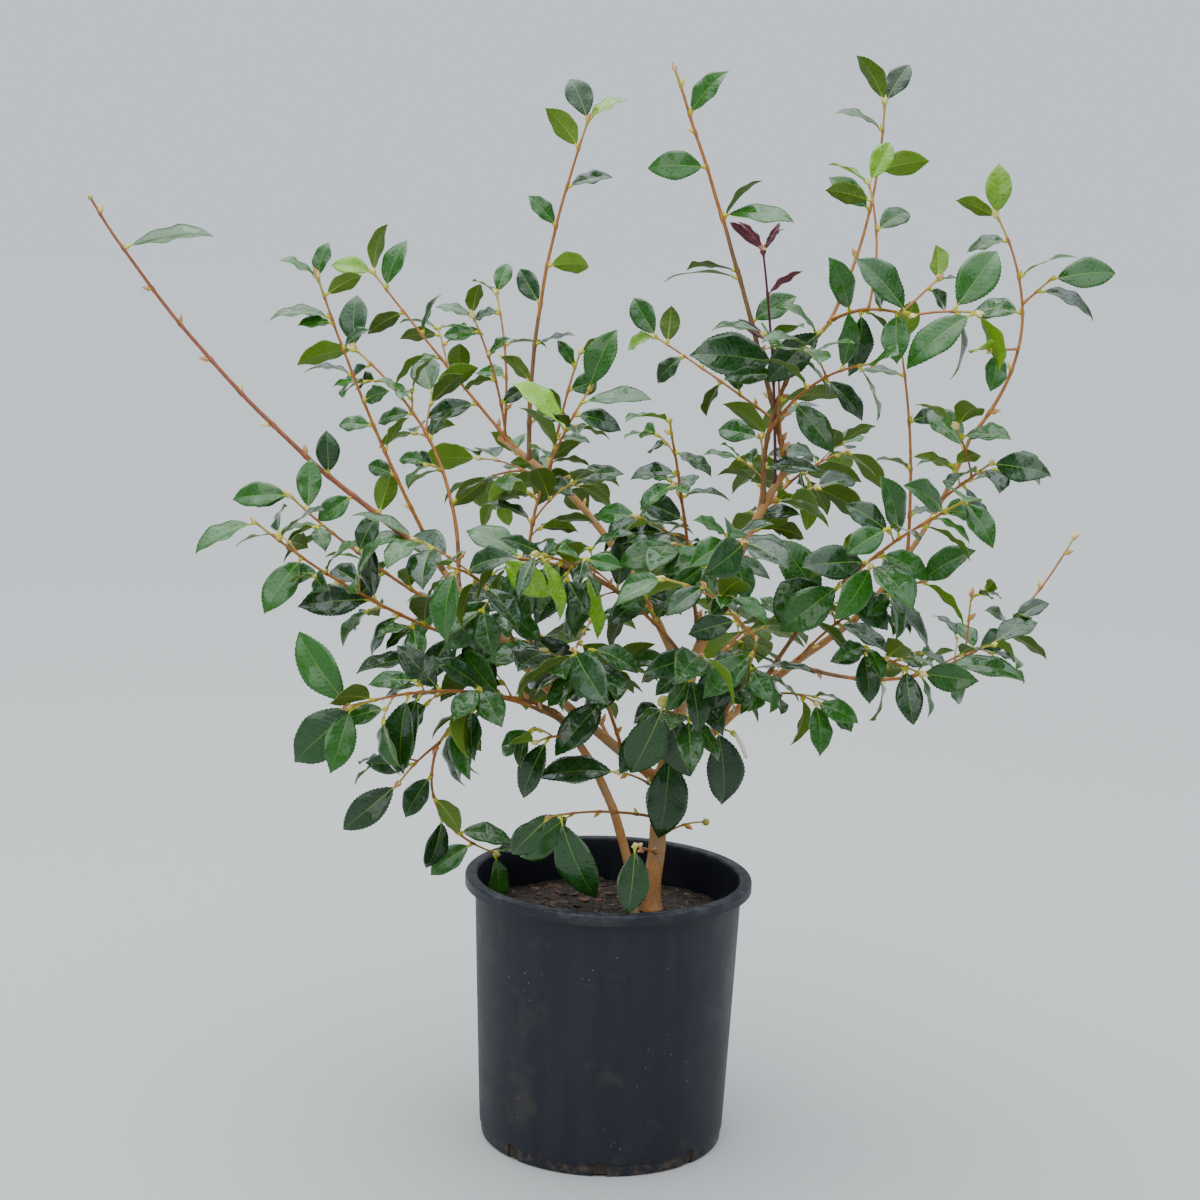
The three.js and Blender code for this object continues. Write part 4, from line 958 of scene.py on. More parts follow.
def solid_tube(limb, grow):
    """The limb's faceted solid, wider and longer by grow all round."""
    wider = grow / math.cos(math.pi / limb.sides)
    up, _ = across(curve_along(limb, 0))
    corners = []
    for share in limb.rings:
        centre = curve_point(limb, share)
        along = UP if limb.flare and share == 0 else curve_along(limb, share)
        if share in (0, 1):
            centre = centre + along * (grow if share else -grow)
        up = (up - along * up.dot(along)).normalized()
        ring = round_about(up, along.cross(up), limb.sides)
        corners += [centre + out * (radius_at(limb, share) + wider) for _, out in ring]
    rings = len(limb.rings) - 1
    return shape_of(corners, ring_faces(rings, limb.sides) + end_faces(rings, limb.sides))


def take(shape, owner):
    shape.owner = owner
    taken.append(shape)


def boxes_meet(a, b):
    return all(a.low[i] < b.high[i] and b.low[i] < a.high[i] for i in range(3))


def touches(shape, *ignored):
    """True if a shape cuts the surface of anything that stands already."""
    return any(
        other.owner not in ignored and boxes_meet(shape, other) and shape.tree.overlap(other.tree)
        for other in taken
    )


def blade_point(leaf, share, offset, height):
    bend = leaf.curl * (share - 2 * share * share)
    rise = leaf.length * bend + leaf.fold * abs(offset) + height
    return leaf.root + leaf.along * (share * leaf.length) + leaf.side * offset + leaf.up * rise


def leaf_solid(leaf):
    """The blade of the solid leaf: a thin lens on its outline."""
    right = [blade_point(leaf, share, wide * leaf.width, 0) for share, wide in LEAF_OUTLINE]
    left = [blade_point(leaf, share, -wide * leaf.width, 0) for share, wide in LEAF_OUTLINE]
    ring = [leaf.root, *right, blade_point(leaf, 1, 0, 0), *reversed(left)]
    n = len(ring)
    ring += [blade_point(leaf, LEAF_MIDDLE, 0, side * LEAF_THICKNESS / 2) for side in (1, -1)]
    faces = []
    for i in range(n):
        j = (i + 1) % n
        faces += [(i, j, n), (j, i, n + 1)]
    return shape_of(ring, faces)


def leaf_space(leaf, clearance):
    """The space that a leaf needs: its blade without the stalk, made thicker and wider."""
    outline = [[LEAF_STALK, 0], *LEAF_OUTLINE, [1, 0]]
    wide = [(share, w * leaf.width + clearance) for share, w in outline]
    edge = wide + [(share, -w) for share, w in reversed(wide)]
    n = len(edge)
    corners = [blade_point(leaf, share, w, side * clearance) for side in (1, -1) for share, w in edge]
    corners += [blade_point(leaf, LEAF_MIDDLE, 0, side * clearance) for side in (1, -1)]
    faces = []
    for i in range(n):
        j = (i + 1) % n
        faces += [(i, j, 2 * n), (n + j, n + i, 2 * n + 1), (j, i, n + i, n + j)]
    return shape_of(corners, faces)


def out_of(limb, share, turn, spread):
    """The direction that leaves a limb at share, turned round it by turn, away by spread."""
    along = curve_along(limb, share)
    up, side = across(along)
    outward = side * math.cos(turn) + up * math.sin(turn)
    return along * math.cos(spread) + outward * math.sin(spread)


def right_of(along):
    """The turn round a limb at which its right-hand side lies, seen from the front."""
    up, side = across(along)
    right = BACK.cross(along)
    return math.degrees(math.atan2(right.dot(up), right.dot(side)))


def lean_of(centre, front):
    """What an upper face leans to: the front at 1, the back at -1, out of the crown at 0."""
    if front:
        return BACK * (-LEAN_FRONT * front)
    return Vector((centre.x, centre.y, 0)).normalized() * LEAN_OUT


def build_leaf(limb, share, aim, front, length, roll, random):
    centre = point_on(limb, share)
    upward = UP + curve_along(limb, share) * LEAN_ALONG + lean_of(centre, front)
    upward = (upward - aim * upward.dot(aim)).normalized()
    upward.rotate(Matrix.Rotation(math.radians(roll), 3, aim))
    leaf = SimpleNamespace(limb=limb, share=share, length=length, along=aim, up=upward)
    leaf.root = centre - aim * (ROOT_SINK * radius_at(limb, share))
    leaf.side = aim.cross(upward)
    leaf.width = length * within(LEAF_WIDTH, random) * SLIM_LEAVES.get(limb.name, 1)
    leaf.curl = within(LEAF_CURL, random)
    leaf.fold = within(LEAF_FOLD, random)
    return leaf


def shape_leaf(limb, share, order, habit, tuft, random):
    """A leaf on a limb. order is its number on the limb."""
    rows = habit["rows"]
    front = 0
    if rows:
        turn = right_of(curve_along(limb, share)) + (0 if (order % 2 == 0) == (rows > 0) else 180)
        front = -1 if order % BACK_EVERY == 1 else 1
    elif abs(curve_along(limb, share).z) > STEEP:
        turn = order * SPIRAL_TURN
    else:
        turn = 180 - ROW_TILT if order % 2 else ROW_TILT
    turn += within(LEAF_TURN, random)
    spread = within(TUFT_SPREAD if tuft else LEAF_SPREAD, random)
    aim = out_of(limb, share, math.radians(turn), math.radians(spread))
    aim.z -= habit["droop"] * within(LEAF_DROOP, random)
    length = habit["leaf"] * within(LEAF_SIZE, random)
    roll = within(LEAF_ROLL, random)
    return build_leaf(limb, share, aim.normalized(), front, length, roll, random)


def lone_leaf(limb, share, way, length, shown, random):
    turn, lift = (angle + within(WAY_SCATTER, random) for angle in WAYS[way])
    aim = direction(turn, lift)
    roll = SHOWN[shown] if aim.x < 0 else -SHOWN[shown]
    return build_leaf(limb, share, aim, 1, length, roll, random)


def habit_of(row):
    habit = dict(zip(("first", "last", "gap", "leaf", "droop", "tuft"), row[10:16]))
    return {**habit, "rows": row[17]}


def place_leaf(seed, limb, make, tuft=False, clearance=LEAF_CLEARANCE, skin=None):
    """Tries a leaf a few times, each with its own turn, and leaves it out if none is clear."""
    for attempt in range(LEAF_TRIES):
        leaf = make(seeded(seed * TRIES_A_SEED + attempt))
        space = leaf_space(leaf, clearance)
        if touches(space, limb.name) or touches(leaf_solid(leaf), limb.name, "leaf"):
            continue
        take(space, "leaf")
        leaf.seed, leaf.tuft, leaf.skin = seed, tuft, skin
        limb.joints.append(leaf.share)
        leaves.append(leaf)
        return True
    return False


def grow_leaves(limb, habit, seed):
    first, last = habit["first"], habit["last"]
    count = max(0, math.floor((last - first) * limb.length / habit["gap"] + 0.5))
    places = [first + (last - first) * (i + 0.5) / count for i in range(count)]
    step = TUFT_GAP / limb.length
    places += [TUFT_START - i * step for i in range(habit["tuft"])]
    for order, share in enumerate(places):
        tuft = order >= count
        make = lambda random: shape_leaf(limb, share, order, habit, tuft, random)
        place_leaf(seed * SEEDS_A_SHOOT + order, limb, make, tuft)


def add_twig(name, limb, share, aim, length, arch, diameters):
    """A side twig or spur where there is room for it, or None."""
    start = point_on(limb, share)
    twig = add_limb(name, start, aim, length, (arch, 0), diameters, TWIG_SIDES, TWIG_RINGS)
    twig.parent, twig.at = limb.name, share
    if touches(solid_tube(twig, 0), limb.name):
        del limbs[name]
        return None
    take(solid_tube(twig, GAP), name)
    return twig


def grow_twig(limb, order, count, seed):
    """A side twig that branches from a shoot by the seeded rule, or None."""
    random = seeded(seed * SEEDS_A_TWIG + order)
    share = mix(*TWIG_PLACES, (order + within(TWIG_PLACE_SHIFT, random)) / count)
    turn = math.radians(order * 180 + within(TWIG_TURN, random))
    length = TWIG_LENGTH * within(TWIG_SIZE, random)
    diameters = (TWIG_DIAMETER, TWIG_DIAMETER * TWIG_TAPER)
    aim = out_of(limb, share, turn, TWIG_SPREAD)
    twig = add_twig(f"{limb.name} twig {order}", limb, share, aim, length, TWIG_ARCH, diameters)
    if twig:
        limb.joints.append(share)
    return twig


def turned_shape(profile):
    """A closed shape turned round Z."""
    corners = []
    for radius, height in profile:
        for i in range(TURNED_SIDES):
            angle = 2 * math.pi * i / TURNED_SIDES
            corners.append(Vector((radius * math.sin(angle), -radius * math.cos(angle), height)))
    return shape_of(corners, ring_faces(len(profile) - 1, TURNED_SIDES))


foot = BODY_FOOT_RADIUS - FOOT_STEP
lip = RIM_RADIUS - POT_WALL
pot_walls = [(foot - 3, 0), (foot, 3), (foot, FOOT_HEIGHT - FOOT_STEP), (BODY_FOOT_RADIUS, FOOT_HEIGHT)]
pot_walls += [(BODY_TOP_RADIUS, POT_HEIGHT - UNDER_RIM), (lip, POT_HEIGHT - UNDER_RIM)]
pot_walls += [(lip, POT_HEIGHT - RIM_DEPTH), (RIM_RADIUS, POT_HEIGHT - RIM_DEPTH)]
pot_walls += [(RIM_RADIUS, POT_HEIGHT - 3), (RIM_RADIUS - 3, POT_HEIGHT), (BODY_TOP_RADIUS, POT_HEIGHT)]
pot_walls += [(inner_radius(POT_HEIGHT), POT_HEIGHT - 3), (inner_radius(POT_FLOOR), POT_FLOOR)]
take(turned_shape(pot_walls), "pot")
edge = COMPOST_TOP - COMPOST_SLUMP
surface = [(inner_radius(edge) - 2 * GAP, edge), (COMPOST_LEVEL_RADIUS, COMPOST_TOP), (0.01, COMPOST_TOP)]
take(turned_shape(surface), "compost")

for row in SHOOTS:
    add_branch(row[:10], TWIG_SIDES, SHOOT_STEP)
for name in [*bough_names, *(row[0] for row in SHOOTS)]:
    take(solid_tube(limbs[name], GAP), name)
for number, (name, share, way, length, shown, skin) in enumerate(LONE_LEAVES):
    make = lambda random: lone_leaf(limbs[name], share, way, length, shown, random)
    place_leaf(LONE_SEED + number, limbs[name], make, skin=skin)
for number, row in enumerate(SHOOTS, 1):
    habit = habit_of(row)
    limb = limbs[row[0]]
    for order in range(row[16]):
        twig = grow_twig(limb, order, row[16], number)
        if twig:
            twig_habit = {**TWIG_HABIT, "leaf": habit["leaf"], "droop": habit["droop"]}
            grow_leaves(twig, twig_habit, number + TWIG_SEED + TWIG_SEED_STEP * order)
    grow_leaves(limb, habit, number)

# Finer twigs: short spurs between the leaves of the denser shoots, with smaller leaves near
# their tips. They follow the same rule, within the same reach.
OPEN_SHOOTS = ("left_whip", "leader_whip", "red_shoot", "right_whip", "top_right_whip")
DENSE_HEIGHTS = (460, 800)
SPUR_END = 0.9
SPUR_SHIFT = 0.35
SPUR_GAP = 40
SPUR_LENGTH = (14, 38)
SPUR_ARCH = 2
SPUR_DIAMETERS = (1.9, 1.3)
SPUR_SPREAD = math.radians(52)
SPUR_LEAF_SHARES = (0.55, 0.97, 1.0)
SPUR_LEAF_SIZE = 0.74
SPUR_CLEARANCE = 0.7
SPUR_SEED = 30000
SEEDS_A_SPUR = 5


def grow_spur(limb, order, share, habit, seed):
    random = seeded(seed)
    turn = math.radians(order * SPIRAL_TURN + 90 * random())
    length = within(SPUR_LENGTH, random)
    aim = out_of(limb, share, turn, SPUR_SPREAD)
    spur = add_twig(f"{limb.name} spur {order}", limb, share, aim, length, SPUR_ARCH, SPUR_DIAMETERS)
    if not spur:
        return
    tube = taken[-1]
    small = {**habit, "leaf": habit["leaf"] * SPUR_LEAF_SIZE, "rows": 0}
    grown = []
    for place, leaf_share in enumerate(SPUR_LEAF_SHARES):
        make = lambda random: shape_leaf(spur, leaf_share, place, small, place > 0, random)
        grown.append(place_leaf(seed + 1 + place, spur, make, place > 0, SPUR_CLEARANCE))
    if not any(grown):
        taken.remove(tube)
        del limbs[spur.name]


for number, row in enumerate(SHOOTS, 1):
    limb = limbs[row[0]]
    if row[0] in OPEN_SHOOTS or not DENSE_HEIGHTS[0] < point_on(limb, 0.5).z < DENSE_HEIGHTS[1]:
        continue
    habit = habit_of(row)
    first, last = habit["first"], min(SPUR_END, habit["last"])
    count = max(1, round((last - first) * limb.length / SPUR_GAP))
    for order in range(count):
        share = first + (last - first) * (order + SPUR_SHIFT) / count
        seed = SPUR_SEED + number * SEEDS_A_SHOOT + order * SEEDS_A_SPUR
        grow_spur(limb, order, share, habit, seed)

# Bare joints: where a shoot has dropped its leaves, a swollen joint and a bud are left about
# every 48 mm, unless a leaf or a twig stands within 18 mm.
BARE_GAP = 48
BARE_CLEAR = 18

for row in SHOOTS:
    limb = limbs[row[0]]
    count = int(limb.length / BARE_GAP)
    limb.bare = [(i + 0.6) / count for i in range(count)]
    for joint in limb.joints:
        limb.bare = [share for share in limb.bare if abs(share - joint) * limb.length > BARE_CLEAR]
    limb.joints += limb.bare

# Shoots are drawn as round tubes that widen where they leave their parent and swell at each
# leaf joint. Their bark is tan to orange brown, and green near the tip.
SHOOT_SWEEP = 4
FINE_LENGTH = 60
SHOOT_SIDES = 8
COLLAR = 0.55
COLLAR_LENGTH = 3.5
JOINT_SWELL = 0.85
JOINT_LENGTH = 3
BLUNT_TIP = 0.55
GREEN_TIP = 26
GROUPS = {
    "left_bough": "left",
    "second_stem": "left",
    "trunk": "middle",
    "leader": "middle",
    "right_bough": "right",
    "right_arm": "right",
    "back_bough": "back",
}
SHOOT_BARKS = {
    "ripe shoot bark": ("#b0702c", "#7c4a1e", 0.6),
    "older shoot bark": ("#8c6238", "#5e4226", 0.7),
    "green shoot tip": ("#a09a30", "#a8782c", 0.5),
    "red-brown whip bark": ("#96502a", "#63351c", 0.55),
    "burgundy shoot bark": ("#6a2833", "#4a1c26", 0.45),
}
SHOOT_KINDS = {"left_whip": 3, "red_shoot": 4}
OLD_THICKNESS = 4.6


def bough_of(limb):
    """The stem or bough that a shoot, twig or spur grows from in the end."""
    while limb.name not in bough_names:
        limb = limbs[limb.parent]
    return limb.name


def shoot_of(limb):
    """The name of the shoot that a twig or spur belongs to, or of the shoot itself."""
    return limb.name.split(" ")[0]


def node_of(name):
    """The solid mass that a shoot is part of."""
    while limbs[name].parent not in bough_names:
        name = limbs[name].parent
    return name


def shoot_radius(limb):
    """The radius of a shoot, with its collar at the foot and its joints."""
    start = radius_at(limbs[limb.parent], limb.at)

    def radius(share, angle):
        collar = COLLAR * math.exp(-max(0, share * limb.length - start) / COLLAR_LENGTH)
        away = [(share - joint) * limb.length / JOINT_LENGTH for joint in limb.joints]
        swell = sum(JOINT_SWELL * math.exp(-(a**2)) for a in away)
        taper = BLUNT_TIP if share == 1 else 1
        return taper * (radius_at(limb, share) * (1 + collar) + swell)

    return radius


def shoot_kind(limb, share):
    """The number of the bark in SHOOT_BARKS that a shoot has at a share of its length."""
    if shoot_of(limb) in SHOOT_KINDS:
        return SHOOT_KINDS[shoot_of(limb)]
    if (1 - share) * limb.length < GREEN_TIP:
        return 2
    return 1 if 2 * radius_at(limb, share) > OLD_THICKNESS else 0


def shoot_bark(name, light, dark, roughness):
    """Thin young bark, streaked along the grain in strands 1 mm wide and 8 mm long."""
    material, tree = new_material(name, {"Roughness": roughness})
    place = add_node(tree, "Attribute", output="Vector", attribute_name="grain")
    strand = add_node(tree, "Mapping", {"Vector": place, "Scale": (0.9, 0.9, 0.12)})
    streak = add_node(tree, "TexNoise", {"Vector": strand, "Scale": 1, "Detail": 4})
    colour = lay_over(tree, linear(dark), light, streak, 0.35, 0.6)
    bump = add_node(tree, "Bump", {"Height": streak, "Strength": 0.5, "Distance": 0.0003})
    link_shader(tree, {"Base Color": colour, "Normal": bump})
    return material


def joined_mesh(name, shapes, materials, attributes):
    """One mesh in metres from shapes in millimetres.

    A shape is its corners, its faces and its material's number, or a number for each face.
    """
    corners, faces, kinds = [], [], []
    for shape_corners, shape_faces, kind in shapes:
        start = len(corners)
        corners += list(shape_corners)
        faces += [[start + i for i in face] for face in shape_faces]
        kinds += kind if isinstance(kind, list) else [kind] * len(shape_faces)
    mesh = bpy.data.meshes.new(name)
    mesh.from_pydata((np.array(corners, float) * MM).tolist(), [], faces)
    mesh.polygons.foreach_set("material_index", np.array(kinds, np.int32))
    for attribute, values in attributes.items():
        values = np.asarray(values, np.float32)
        kind, field = ("FLOAT_VECTOR", "vector") if values.ndim == 2 else ("FLOAT", "value")
        mesh.attributes.new(attribute, kind, "POINT").data.foreach_set(field, values.ravel())
    for material in materials:
        mesh.materials.append(material)
    mesh.update()
    return mesh


shoot_barks = [shoot_bark(name, *look) for name, look in SHOOT_BARKS.items()]
masses = {group: set() for group in GROUPS.values()}
for row in SHOOTS:
    masses[GROUPS[bough_of(limbs[row[0]])]].add(node_of(row[0]))

for group, nodes in masses.items():
    shapes, grain = [], []
    for limb in limbs.values():
        if limb.name in bough_names or GROUPS[bough_of(limb)] != group:
            continue
        drawn_point(limb, 0)
        step = SHOOT_SWEEP * min(1, limb.length / FINE_LENGTH)
        corners, faces, shares = sweep(limb, step, SHOOT_SIDES, shoot_radius(limb))
        kinds = [shoot_kind(limb, share) for share in shares[:-1] for _ in range(SHOOT_SIDES)]
        shapes.append((corners, faces, kinds + [shoot_kind(limb, 0), shoot_kind(limb, 1)]))
        for share in shares:
            width, travel = radius_at(limb, share), share * limb.length
            for k in range(SHOOT_SIDES):
                angle = 2 * math.pi * k / SHOOT_SIDES
                grain.append((width * math.cos(angle) + limb.key, width * math.sin(angle), travel))
    mesh = joined_mesh(f"twigs_{group}", shapes, shoot_barks, {"grain": grain})
    twigs = add_object(f"twigs_{group}", mesh, smooth=True)
    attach(twigs, "root")
    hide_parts(*sorted(nodes))


# Leaves: leathery camellia leaves, 50 to 95 mm long, on short yellow-green stalks. Each
# blade is folded along its midrib, curls down to a drawn-out point and has fine teeth. They
# are real size and joined by side of the crown, with the low and the red ones apart.
BLADE_START = 0.1
BLADE_ROWS = 18
# Places across the blade, as shares of half its width. The midrib lies between the two that
# are next to 0.
BLADE_COLUMNS = (-0.78, -0.4, -0.0001, 0.0001, 0.4, 0.78)
TEETH_A_ROW = 1
TOOTH = 0.9
BODY_SHAPE = (1.06, 0.78)
RIB_WIDTH = (0.6, 0.08)
BLADE_THICKNESS = 0.45
MARGIN_THICKNESS = 0.3
RIB_GROOVE = 0.25
RIB_RIDGE = 0.45
STALK_RADIUS = (1.5, 0.95)
STALK_SIDES = 6
STALK_RINGS = 3
STALK_OVERLAP = 0.03
WAVE_HEIGHT = 1.5
WAVES = (1.6, 2.6)
TWIST = math.radians(14)
SICKLE = 0.03
TIP_START = 0.82
TIP_PINCH = (0, 0.45)
CURL_START = 0.78
TIP_CURL = 0.05
FORM_SEED = 500000
SKIN_SEED = 700000


def blade_outline(t, pinch):
    """Half the blade's width as a share of the widest, from its base at 0 to its tip at 1."""
    body = np.sin(np.pi * np.clip(t, 0, 1) ** BODY_SHAPE[0]) ** BODY_SHAPE[1]
    near_tip = np.clip((t - TIP_START) / (1 - TIP_START), 0, 1)
    return body * (1 - pinch * near_tip**2 * (3 - 2 * near_tip))


def blade_pattern():
    """A leaf's corners, its faces and their kinds.

    A corner is its share of the blade, its share of half the width, its side, and 1 on a
    tooth. The kinds are 0 upper side, 1 underside, 2 midrib above, 3 margin, 4 midrib below.
    """
    corners, faces, kinds, index = [], [], [], {}
    steps = 2 * TEETH_A_ROW
    for side in (1, -1):
        for row in range(BLADE_ROWS + 1):
            for column in BLADE_COLUMNS:
                index[side, row, column] = len(corners)
                corners.append((row / BLADE_ROWS, column, side, 0))
        for edge in (-1, 1):
            for step in range(BLADE_ROWS * steps + 1):
                index[side, "edge", edge, step] = len(corners)
                tooth = 1 if step % 2 and 1 < step < BLADE_ROWS * steps - 1 else 0
                corners.append((step / (BLADE_ROWS * steps), edge, side, tooth))
    for side, skin, rib in ((1, 0, 2), (-1, 1, 4)):
        for row in range(BLADE_ROWS):
            for a, b in zip(BLADE_COLUMNS, BLADE_COLUMNS[1:]):
                face = [index[side, row, a], index[side, row, b]]
                face += [index[side, row + 1, b], index[side, row + 1, a]]
                faces.append(face[::side])
                kinds.append(rib if b - a < 0.01 else skin)
            for edge in (-1, 1):
                inner = edge * BLADE_COLUMNS[-1]
                outer = [index[side, "edge", edge, row * steps + i] for i in range(steps + 1)]
                face = [index[side, row, inner], *outer, index[side, row + 1, inner]]
                faces.append(face[:: side * edge])
                kinds.append(skin)
    for edge in (-1, 1):
        for step in range(BLADE_ROWS * steps):
            top = [index[1, "edge", edge, step + i] for i in (1, 0)]
            low = [index[-1, "edge", edge, step + i] for i in (0, 1)]
            faces.append((low + top)[::edge])
            kinds.append(3)
    return np.array(corners), faces, kinds


pattern, pattern_faces, pattern_kinds = blade_pattern()
stalk_faces = ring_faces(STALK_RINGS, STALK_SIDES, inward=True) + [tuple(range(STALK_SIDES))]


def leaf_corners(leaf):
    """A leaf's corners, what the finish needs to know of each, and its stalk's corners."""
    random = seeded(leaf.seed + FORM_SEED)
    phase, waves = random(), within(WAVES, random)
    twist, sickle = TWIST * mix(-1, 1, random()), SICKLE * mix(-1, 1, random())
    pinch = within(TIP_PINCH, random)
    shift = drawn_point(leaf.limb, leaf.share) - point_on(leaf.limb, leaf.share)
    root = np.array(leaf.root + shift)
    along, side, up = (np.array(v) for v in (leaf.along, leaf.side, leaf.up))
    t, across_share, face_side, tooth = pattern.T
    share = BLADE_START + (1 - BLADE_START) * t
    rib = RIB_WIDTH[0] + (RIB_WIDTH[1] - RIB_WIDTH[0]) * t
    is_rib = np.abs(across_share) < 0.01
    half = np.maximum(0.5 * leaf.width * blade_outline(t, pinch), rib + 0.1)
    offset = np.where(is_rib, np.sign(across_share) * rib, across_share * half)
    offset += np.sign(across_share) * tooth * TOOTH
    reach = np.abs(offset) / np.max(half)
    rise = leaf.length * leaf.curl * (share - 2 * share**2)
    rise += leaf.fold * np.abs(offset) * (1.3 - 0.6 * reach)
    rise += WAVE_HEIGHT * np.sin(2 * np.pi * (waves * t + phase)) * reach**2
    rise -= TIP_CURL * leaf.length * np.clip((t - CURL_START) / (1 - CURL_START), 0, 1) ** 2
    rise += offset * np.tan(twist * share)
    thick = np.where(np.abs(across_share) > 0.99, MARGIN_THICKNESS, BLADE_THICKNESS) / 2
    thick = np.where(is_rib, thick - np.where(face_side > 0, RIB_GROOVE, -RIB_RIDGE), thick)
    rise += face_side * thick
    offset = offset + sickle * leaf.length * t**2
    blade = root + np.outer(share * leaf.length, along) + np.outer(offset, side) + np.outer(rise, up)
    about = np.column_stack((share * leaf.length, offset, across_share))
    stalk = []
    for ring in range(STALK_RINGS + 1):
        s = ring / STALK_RINGS * (BLADE_START + STALK_OVERLAP)
        width = mix(*STALK_RADIUS, ring / STALK_RINGS)
        centre = root + along * s * leaf.length + up * (leaf.length * leaf.curl * (s - 2 * s * s))
        stalk += [centre + width * out for _, out in round_about(side, up, STALK_SIDES)]
    return blade, about, stalk


# Camellia leaf skins. The upper side has a thick waxy skin, wet and glossy, so it mirrors the
# sky in soft patches. The underside is matt. Its colour is partly the leaf's own paler olive
# and partly painted light: it is made brighter and yellower to stand in for light shining
# through the thin blade. Veins leave the midrib every 6.5 mm, and rain stands on the upper
# side in drops, drawn 4 mm wide and 7 mm apart so that they show.
VEIN_GAP = 6.5
VEIN_SLOPE = 0.62
DROP_GAP = 7
# Each skin is its upper side, that side's veins, its underside and the underside's veins. The underside
# colours are partly painted light, brightened as if light shone through the leaf.
LEAF_SKINS = {
    "old": ("#12360f", "#2c561c", "#46600e", "#648022"),
    "grown": ("#1f5010", "#3c6e22", "#527410", "#76962a"),
    "young": ("#689a14", "#8cb430", "#78a412", "#9abc36"),
    "red": ("#4a1420", "#662230", "#602a34", "#7c3c46"),
}
MATT_SKIN = {"Roughness": 0.55, "Specular IOR Level": 0.35}
WAXY_SKIN = {"Specular IOR Level": 0.25, "Coat Weight": 0.7, "Coat Roughness": 0.06, "Coat IOR": 1.4}
PLAIN_SKINS = {
    "leaf midrib": "#5f8424",
    "leaf margin": "#869a3c",
    "leaf midrib, underside": "#8ca030",
    "leaf stalk": "#b0b420",
    "red leaf midrib": "#7d3a42",
}


def shades(code, *factors):
    """A colour made lighter or darker by each factor."""
    return [[part * factor for part in linear(code)[:3]] + [1] for factor in factors]


def leaf_skin(name, colour, vein, upper):
    """One side of a leaf. upper is true for the glossy side. Its patches are 8 mm wide."""
    material, tree = new_material(name, WAXY_SKIN if upper else MATT_SKIN)
    blade = add_node(tree, "Attribute", output="Vector", attribute_name="blade")
    tint = add_node(tree, "Attribute", output="Fac", attribute_name="tint")
    along = add_node(tree, "SeparateXYZ", {0: blade}, "X")
    away = add_node(tree, "SeparateXYZ", {0: blade}, "Y")
    away = add_node(tree, "Math", {0: away}, operation="ABSOLUTE")
    slope = add_node(tree, "Math", {0: away, 1: -VEIN_SLOPE}, operation="MULTIPLY")
    course = add_node(tree, "Math", {0: along, 1: slope}, operation="ADD")
    course = add_node(tree, "Math", {0: course, 1: VEIN_GAP}, operation="DIVIDE")
    between = add_node(tree, "Math", {0: course, 1: 0.5}, operation="PINGPONG")
    mottle = add_node(tree, "TexNoise", {"Vector": blade, "Scale": 0.13, "Detail": 4})
    pale, dark = shades(colour, 1.35, 0.7)
    colour = add_node(tree, "MixRGB", {"Fac": tint, "Color1": dark, "Color2": pale})
    colour = lay_over(tree, colour, vein, mottle, 0.45, 0.75, 0.25)
    colour = lay_over(tree, colour, vein, between, 0.1, 0.02, 0.3)
    quilt = add_node(tree, "Math", {0: between}, operation="SQRT")
    bump = add_node(tree, "Bump", {"Height": quilt, "Strength": 0.7, "Distance": 0.0005})
    if upper:
        rough = {"Value": mottle, "From Min": 0.42, "From Max": 0.6, "To Min": 0.16, "To Max": 0.5}
        link_shader(tree, {"Roughness": add_node(tree, "MapRange", rough)})
        cell = add_node(tree, "TexVoronoi", {"Vector": blade, "Scale": 1 / DROP_GAP})
        dome = {"Value": cell, "From Min": 0.3, "From Max": 0.05}
        dome = add_node(tree, "MapRange", dome, interpolation_type="SMOOTHERSTEP")
        drops = {"Height": dome, "Strength": 0.9, "Distance": 0.0012, "Normal": bump}
        bump = add_node(tree, "Bump", drops)
    link_shader(tree, {"Base Color": colour, "Normal": bump})
    return material


def sappy_skin(name, colour):
    """Smooth sappy tissue, a little paler in patches of 3 mm."""
    material, tree = new_material(name, {"Roughness": 0.4})
    place = add_node(tree, "TexCoord", output="Object")
    patch = add_node(tree, "TexNoise", {"Vector": place, "Scale": 320})
    pale, dark = shades(colour, 1.2, 0.8)
    made = add_node(tree, "MixRGB", {"Fac": patch, "Color1": dark, "Color2": pale})
    link_shader(tree, {"Base Color": made})
    return material


leaf_finishes = []
for skin, (upper, upper_vein, under, under_vein) in LEAF_SKINS.items():
    leaf_finishes.append(leaf_skin(f"{skin} leaf, upper skin", upper, upper_vein, True))
    # The underside's base colour carries painted light shining through the leaf.
    leaf_finishes.append(leaf_skin(f"{skin} leaf, underside", under, under_vein, False))
RIB, MARGIN, UNDER_RIB, STALK, RED_RIB = range(len(leaf_finishes), len(leaf_finishes) + 5)
leaf_finishes += [sappy_skin(*row) for row in PLAIN_SKINS.items()]
# Leaves in a tuft or above YOUNG_HEIGHT are grown more often than old, and a few in tufts up
# there are young.
YOUNG_HEIGHT = 880
YOUNG_SHARE = 0.18
GROWN_SHARES = {"new wood": 0.75, "old wood": 0.38}
LOW_HEIGHT = 520


def leaf_age(leaf, random):
    """The name of a leaf's skin."""
    if leaf.skin:
        return leaf.skin
    if shoot_of(leaf.limb) == "red_shoot":
        return "red"
    draw = random()
    high = leaf.root.z > YOUNG_HEIGHT
    if leaf.tuft and high and draw < YOUNG_SHARE:
        return "young"
    return "grown" if draw < GROWN_SHARES["new wood" if leaf.tuft or high else "old wood"] else "old"


